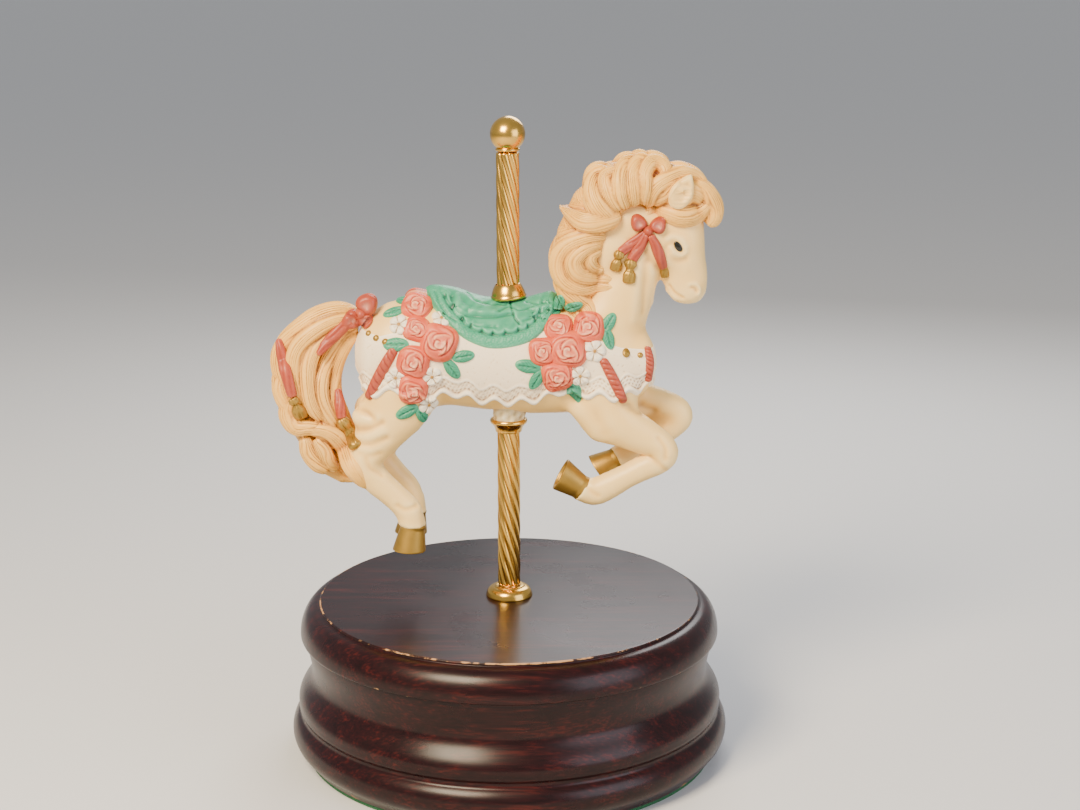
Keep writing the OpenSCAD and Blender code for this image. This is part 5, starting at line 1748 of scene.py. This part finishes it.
@dataclass
class Ribbons:
    """The straps over the flanks, the two bows with their ends, and the gold tassels."""

    straps: Sequence[Sequence[Sequence[float]]] = (
        # x, z, half width, half thickness
        ((-31.4, 123.0, 1.3, 0.9), (-34.0, 118.6, 1.6, 1.1), (-36.8, 113.4, 1.6, 1.1),
         (-39.6, 107.6, 1.3, 0.9)),
        ((26.4, 119.8, 1.2, 0.9), (28.8, 115.4, 1.5, 1.1), (31.0, 111.0, 1.5, 1.1), (32.8, 106.8, 1.2, 0.9)),
        ((39.2, 122.2, 1.0, 0.9), (39.9, 118.0, 1.3, 1.0), (39.6, 112.0, 1.1, 0.9)),
    )
    ends: Sequence[Sequence[Sequence[float]]] = (
        ((-44.4, 129.4, 1.6, 1.2, 0.5), (-48.4, 125.6, 1.8, 1.3, 0.6), (-51.4, 122.6, 1.6, 1.2, 0.6),
         (-53.8, 119.6, 0.8, 0.8, 0.3)),
        ((-65.0, 124.0, 0.9, 0.8, 0.4), (-63.8, 118.8, 1.7, 1.2, 0.6), (-62.2, 113.4, 1.7, 1.2, 0.7),
         (-60.8, 107.8, 1.4, 1.1, 0.6)),
        ((-48.6, 109.4, 0.9, 0.9, 0.6), (-48.0, 105.4, 1.6, 1.3, 0.9), (-47.4, 101.0, 1.4, 1.2, 1.0)),
        ((38.6, 154.6, 1.1, 0.9, 0.5), (35.0, 151.6, 1.5, 1.1, 0.4), (31.2, 148.8, 1.4, 1.0, 0.3)),
        ((38.8, 154.2, 1.1, 0.9, 0.6), (36.8, 150.4, 1.6, 1.2, 0.5), (34.4, 146.4, 1.5, 1.0, 0.3)),
        ((39.8, 154.0, 1.0, 0.9, 0.6), (41.8, 149.6, 1.6, 1.2, 0.4), (43.8, 144.0, 1.3, 0.9, 0.2)),
    )
    loops: Sequence[tuple[float, float, float, float, float]] = (
        # x, z, half length, half width, turn
        (-39.9, 133.6, 3.4, 3.1, 50.0), (-44.0, 129.2, 3.3, 2.7, 205.0), (-40.2, 129.6, 2.6, 2.2, 280.0),
        (36.5, 157.0, 2.8, 2.3, 118.0), (41.8, 156.2, 2.8, 2.3, 62.0),
    )
    knots: Sequence[tuple[float, float, float]] = ((-41.4, 131.2, 1.8), (39.1, 155.0, 1.5))
    tassels: Sequence[Sequence[Sequence[float]]] = (
        ((-61.0, 107.8, 1.4, 1.2, 0.8), (-60.4, 106.6, 1.6, 1.4, 0.9), (-60.1, 105.8, 1.0, 1.0, 0.7),
         (-59.5, 104.0, 2.1, 1.6, 0.9), (-58.6, 101.0, 1.9, 1.3, 0.7)),
        ((-47.6, 101.4, 1.4, 1.2, 1.1), (-46.9, 99.8, 2.1, 1.8, 1.3), (-45.9, 98.2, 1.7, 1.5, 1.2),
         (-44.9, 96.6, 2.2, 1.8, 1.3), (-43.0, 93.6, 2.0, 1.4, 0.9)),
        ((31.6, 149.4, 1.2, 1.0, 0.5), (31.0, 148.2, 1.6, 1.3, 0.6), (30.7, 147.1, 1.0, 0.9, 0.4),
         (30.4, 145.8, 1.6, 1.2, 0.5), (30.0, 143.6, 1.7, 1.0, 0.3)),
        ((34.8, 147.0, 1.2, 1.0, 0.5), (34.3, 145.6, 1.8, 1.4, 0.6), (34.1, 144.2, 1.1, 1.0, 0.4),
         (34.0, 142.8, 1.8, 1.4, 0.5), (33.8, 140.2, 1.8, 1.2, 0.3)),
        ((43.7, 144.6, 1.0, 0.8, 0.3), (44.0, 143.2, 1.3, 1.0, 0.4), (44.3, 141.4, 1.2, 0.9, 0.3)),
    )

    def build(self, skin: Skin) -> None:
        """Lays and shows the ribbons and the tassels.

        Args:
            skin: the dressed horse.
        """
        straps, bows, tassels = [], [], []
        for side in Side:
            for path in self.straps:
                strap = Strand(path, depth=0.35, lift=0.1, rope=9.0, blunt=0.4, steps=(28, 90))
                straps.append(strap.mesh(skin, side, "strap"))
        side = Side.NEAR
        for path in self.ends:
            end = Strand(path, ridges=2.0, depth=0.3, blunt=0.3, steps=(28, 48))
            bows.append(end.mesh(skin, side, "ribbon"))
        for x, z, a, b, turn in self.loops:
            loop = Loop(x, z, a, b, turn=turn, rise=2.0, face_on=0.7, lift=0.2, steps=(48, 30))
            bows.append(loop.mesh(skin, side, "loop"))
        for x, z, r in self.knots:
            knot = Stud(x, z, r, r, rise=2.4, face_on=0.7, steps=(24, 14))
            bows.append(knot.mesh(skin, side, "knot"))
        for path in self.tassels:
            tassel = Strand(path, ridges=3.0, depth=0.35, blunt=0.3, steps=(30, 50))
            tassels.append(tassel.mesh(skin, side, "tassel"))
        for name, slot, node, parts, reach, depth in (
            ("rope_straps", "coral_ribbon_glaze", "ribbon_straps", straps, 5, 0.2),
            ("ribbon_bows", "coral_ribbon_glaze", "bows", bows, 6, 0.3),
            ("gold_tassels", "gold_lustre", "tassels", tassels, 6, 0.3),
        ):
            mesh = joined(name, parts)
            mark_relief(mesh, reach, depth, 0.5)
            show(mesh, name, "carousel", slot, node)


@dataclass
class HoovesAndEyes:
    """The gilded hooves and the glossy black eyes."""

    hooves: Sequence[tuple[float, float, float, float, Side]] = (
        # pastern x and z, sole x and z
        (20.8, 80.9, 14.9, 84.9, Side.NEAR), (31.6, 85.5, 26.0, 82.4, Side.FAR),
        (-27.6, 69.4, -28.8, 62.2, Side.NEAR), (-28.2, 69.8, -29.2, 63.2, Side.FAR),
    )

    def hoof(self, row: tuple[float, float, float, float, Side]) -> bpy.types.Mesh:
        """Shapes one hoof with its coronet, flare and hollow sole.

        Args:
            row: the pastern's and the sole's x and z, and the leg's side.

        Returns:
            The hoof's mesh.
        """
        x0, z0, x1, z1, side = row
        axis = unit(np.array([x1 - x0, 0.0, z1 - z0]))
        wide = np.array([0.0, 1.0, 0.0])
        toe = np.cross(wide, axis)
        length = math.hypot(x1 - x0, z1 - z0)
        start = np.array([x0, LEG_Y * side.value, z0])

        def place(u: Array, v: Array) -> Array:
            """Coronet, wall, rim and hollow sole."""
            angle = 2 * np.pi * u
            stops = (0.0, 0.1, 0.2, 0.3, 0.66, 0.72, 0.76, 0.82, 1.0)
            radius = np.interp(v, stops, (0.0, 3.2, 3.75, 3.6, 4.75, 4.7, 4.2, 3.9, 0.0))
            sole = (length - 0.3, length, length, length - 1.0, length - 1.3)
            reach = np.interp(v, stops, (-1.6, -1.4, -0.4, 0.6, *sole))
            cleft = 0.7 * np.exp(-((np.cos(angle) * radius / 0.9) ** 2)) * (v > 0.8) * (np.sin(angle) < 0.2)
            toe_long = 0.5 * np.sin(angle) * np.clip((v - 0.2) / 0.4, 0, 1) * radius / 4.7
            return (
                start
                + axis * (reach + cleft + toe_long)[:, None]
                + wide * (radius * 0.93 * np.cos(angle))[:, None]
                + toe * (radius * np.sin(angle))[:, None]
            )

        return moved_grid("hoof", 56, 60, place)

    def build(self, skin: Skin) -> None:
        """Shapes and shows the hooves and the eyes.

        Args:
            skin: the horse's skin.
        """
        mesh = joined("gilded_hooves", [self.hoof(row) for row in self.hooves])
        mark_relief(mesh, 5, 0.3, 0.55)
        show(mesh, "gilded_hooves", "carousel", "gold_lustre", "hooves")
        eye = Stud(47.6, 150.5, 1.75, 0.95, turn=-55.0, rise=0.55, face_on=0.3, foot=0.8, steps=(32, 14))
        mesh = joined("enamel_eyes", [eye.mesh(skin, side, "eye") for side in Side])
        mark_relief(mesh, 3, 0.5, 0.5)
        show(mesh, "enamel_eyes", "carousel", "black_enamel", "eyes")


@dataclass
class Plaster:
    """The lumpy plaster between the collar and the belly."""

    radius: float = 4.9
    low: float = 98.9
    high: float = 103.5
    bore: float = 1.65

    def build(self) -> None:
        """Shapes and shows the plaster."""

        def place(u: Array, v: Array) -> Array:
            """A rough plug round the rod."""
            angle = 2 * np.pi * u
            t = np.clip(v / 0.85, 0, 1)
            back = np.clip((v - 0.85) / 0.15, 0, 1)
            rough = 0.3 * np.sin(3 * angle + 4 * t) + 0.18 * np.sin(7 * angle - 9 * t)
            rough += 0.1 * np.sin(13 * angle)
            radius = self.radius - 0.35 + rough * np.sin(np.pi * t)
            folded = self.bore + (radius - self.bore) * (1 - np.clip(back * 3, 0, 1))
            radius = np.where(v < 0.03, self.bore, np.where(back > 0, folded, radius))
            climb = np.where(back > 0, 1 - np.clip((back - 0.34) * 1.52, 0, 1), t)
            z = self.low + (self.high - self.low) * climb
            return np.stack([radius * np.cos(angle), radius * np.sin(angle), z], axis=1)

        mesh = moved_grid("belly_plaster", 64, 40, place)
        mark_relief(mesh, 6, 0.2, 0.5)
        show(mesh, "belly_plaster", "carousel", "plaster", "belly_filler")


def dress_movement(frame: dict, done: set[str]) -> None:
    """Gives every CAD node that still shows the finish of its slot.

    Args:
        frame: the loaded frame.
        done: nodes that other pieces replace.
    """
    slots = {part["node"]: part["material_slot"] for part in frame["record"]["subparts"]}
    for node, piece in frame["nodes"].items():
        if node in done:
            continue
        material = SLOT_FINISH[slots[node]].material()
        if not piece.material_slots:
            piece.data.materials.append(material)
        for slot in piece.material_slots:
            slot.material = material
        LOG.info("%s: finished as %s", node, slots[node])


def light(name: str, place: tuple[float, float, float], size: float, power: float, colour: str) -> None:
    """Adds a square soft light that looks at the horse.

    Args:
        name: the light's name.
        place: where it stands, in millimetres.
        size: its side in millimetres.
        power: its power in watts.
        colour: its colour.
    """
    lamp = bpy.data.lights.new(name, "AREA")
    lamp.size = size * MM
    lamp.energy = power
    lamp.color = linear(colour)[:3]
    holder = bpy.data.objects.new(name, lamp)
    holder.location = [c * MM for c in place]
    way = np.array([0.0, 0.0, 100.0]) - np.array(place)
    flat = math.hypot(way[0], way[1])
    holder.rotation_euler = (math.atan2(flat, -way[2]), 0.0, math.atan2(-way[0], way[1]))
    bpy.context.scene.collection.objects.link(holder)


def stage_scene() -> None:
    """Sets the camera, the floor, the lights and the world."""
    # a long lens half a metre in front, looking a little down at the horse
    lens = bpy.data.cameras.new("camera")
    lens.lens = 64.41
    lens.sensor_width = 36.0
    lens.clip_start = 0.01
    camera = bpy.data.objects.new("camera", lens)
    camera.location = (0.00903, -0.5403, 0.23466)
    camera.rotation_euler = (math.radians(76.36), 0.0, 0.0)
    bpy.context.scene.collection.objects.link(camera)
    bpy.context.scene.camera = camera

    work = bmesh.new()
    bmesh.ops.create_grid(work, x_segments=1, y_segments=1, size=60.0)
    ground = bpy.data.meshes.new("floor")
    work.to_mesh(ground)
    work.free()
    paper = bpy.data.materials.new("pale_backdrop_paper")
    paper.use_nodes = True
    shader = paper.node_tree.nodes["Principled BSDF"]
    shader.inputs["Base Color"].default_value = linear("#D8D8D8")
    shader.inputs["Roughness"].default_value = 0.9
    ground.materials.append(paper)
    floor = bpy.data.objects.new("floor", ground)
    bpy.context.scene.collection.objects.link(floor)

    light("key_light", (-260.0, -420.0, 520.0), 260.0, 10.0, "#FFEAC8")
    light("fill_light", (480.0, -380.0, 260.0), 420.0, 2.2, "#F2F2FF")
    light("rim_light", (120.0, 460.0, 420.0), 300.0, 2.2, "#FFFFFF")
    world = bpy.context.scene.world or bpy.data.worlds.new("world")
    bpy.context.scene.world = world
    world.use_nodes = True
    sky = world.node_tree.nodes["Background"]
    sky.inputs[0].default_value = linear("#E4E6EA")
    sky.inputs[1].default_value = 0.6


def main() -> None:
    """Builds the whole music box."""
    logging.basicConfig(level=logging.INFO, format="%(message)s")
    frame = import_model()
    stage_scene()
    TurnedBase().build()
    BrassPole().build()
    Plaster().build()
    casting = Casting(frame)
    body = casting.build()
    mane, tail = Hair(frame).build(body)
    casting.finish(body, mane)
    blanket = LaceBlanket().build(body)
    Saddle().build()
    skin = Skin(body, mane, tail, blanket)
    Flowers().build(skin)
    Ribbons().build(skin)
    HoovesAndEyes().build(Skin(body))
    replaced = {
        "base_shell", "lower_pole", "upper_pole", "pole_bush", "finial", "top_ferrule", "belly_collar",
        "belly_filler", "horse_casting", "mane", "tail", "lace_blanket", "saddle", "roses", "daisies",
        "leaves", "studs", "ribbon_straps", "bows", "tassels", "hooves", "eyes",
    }
    dress_movement(frame, replaced)


if __name__ == "__main__":
    main()
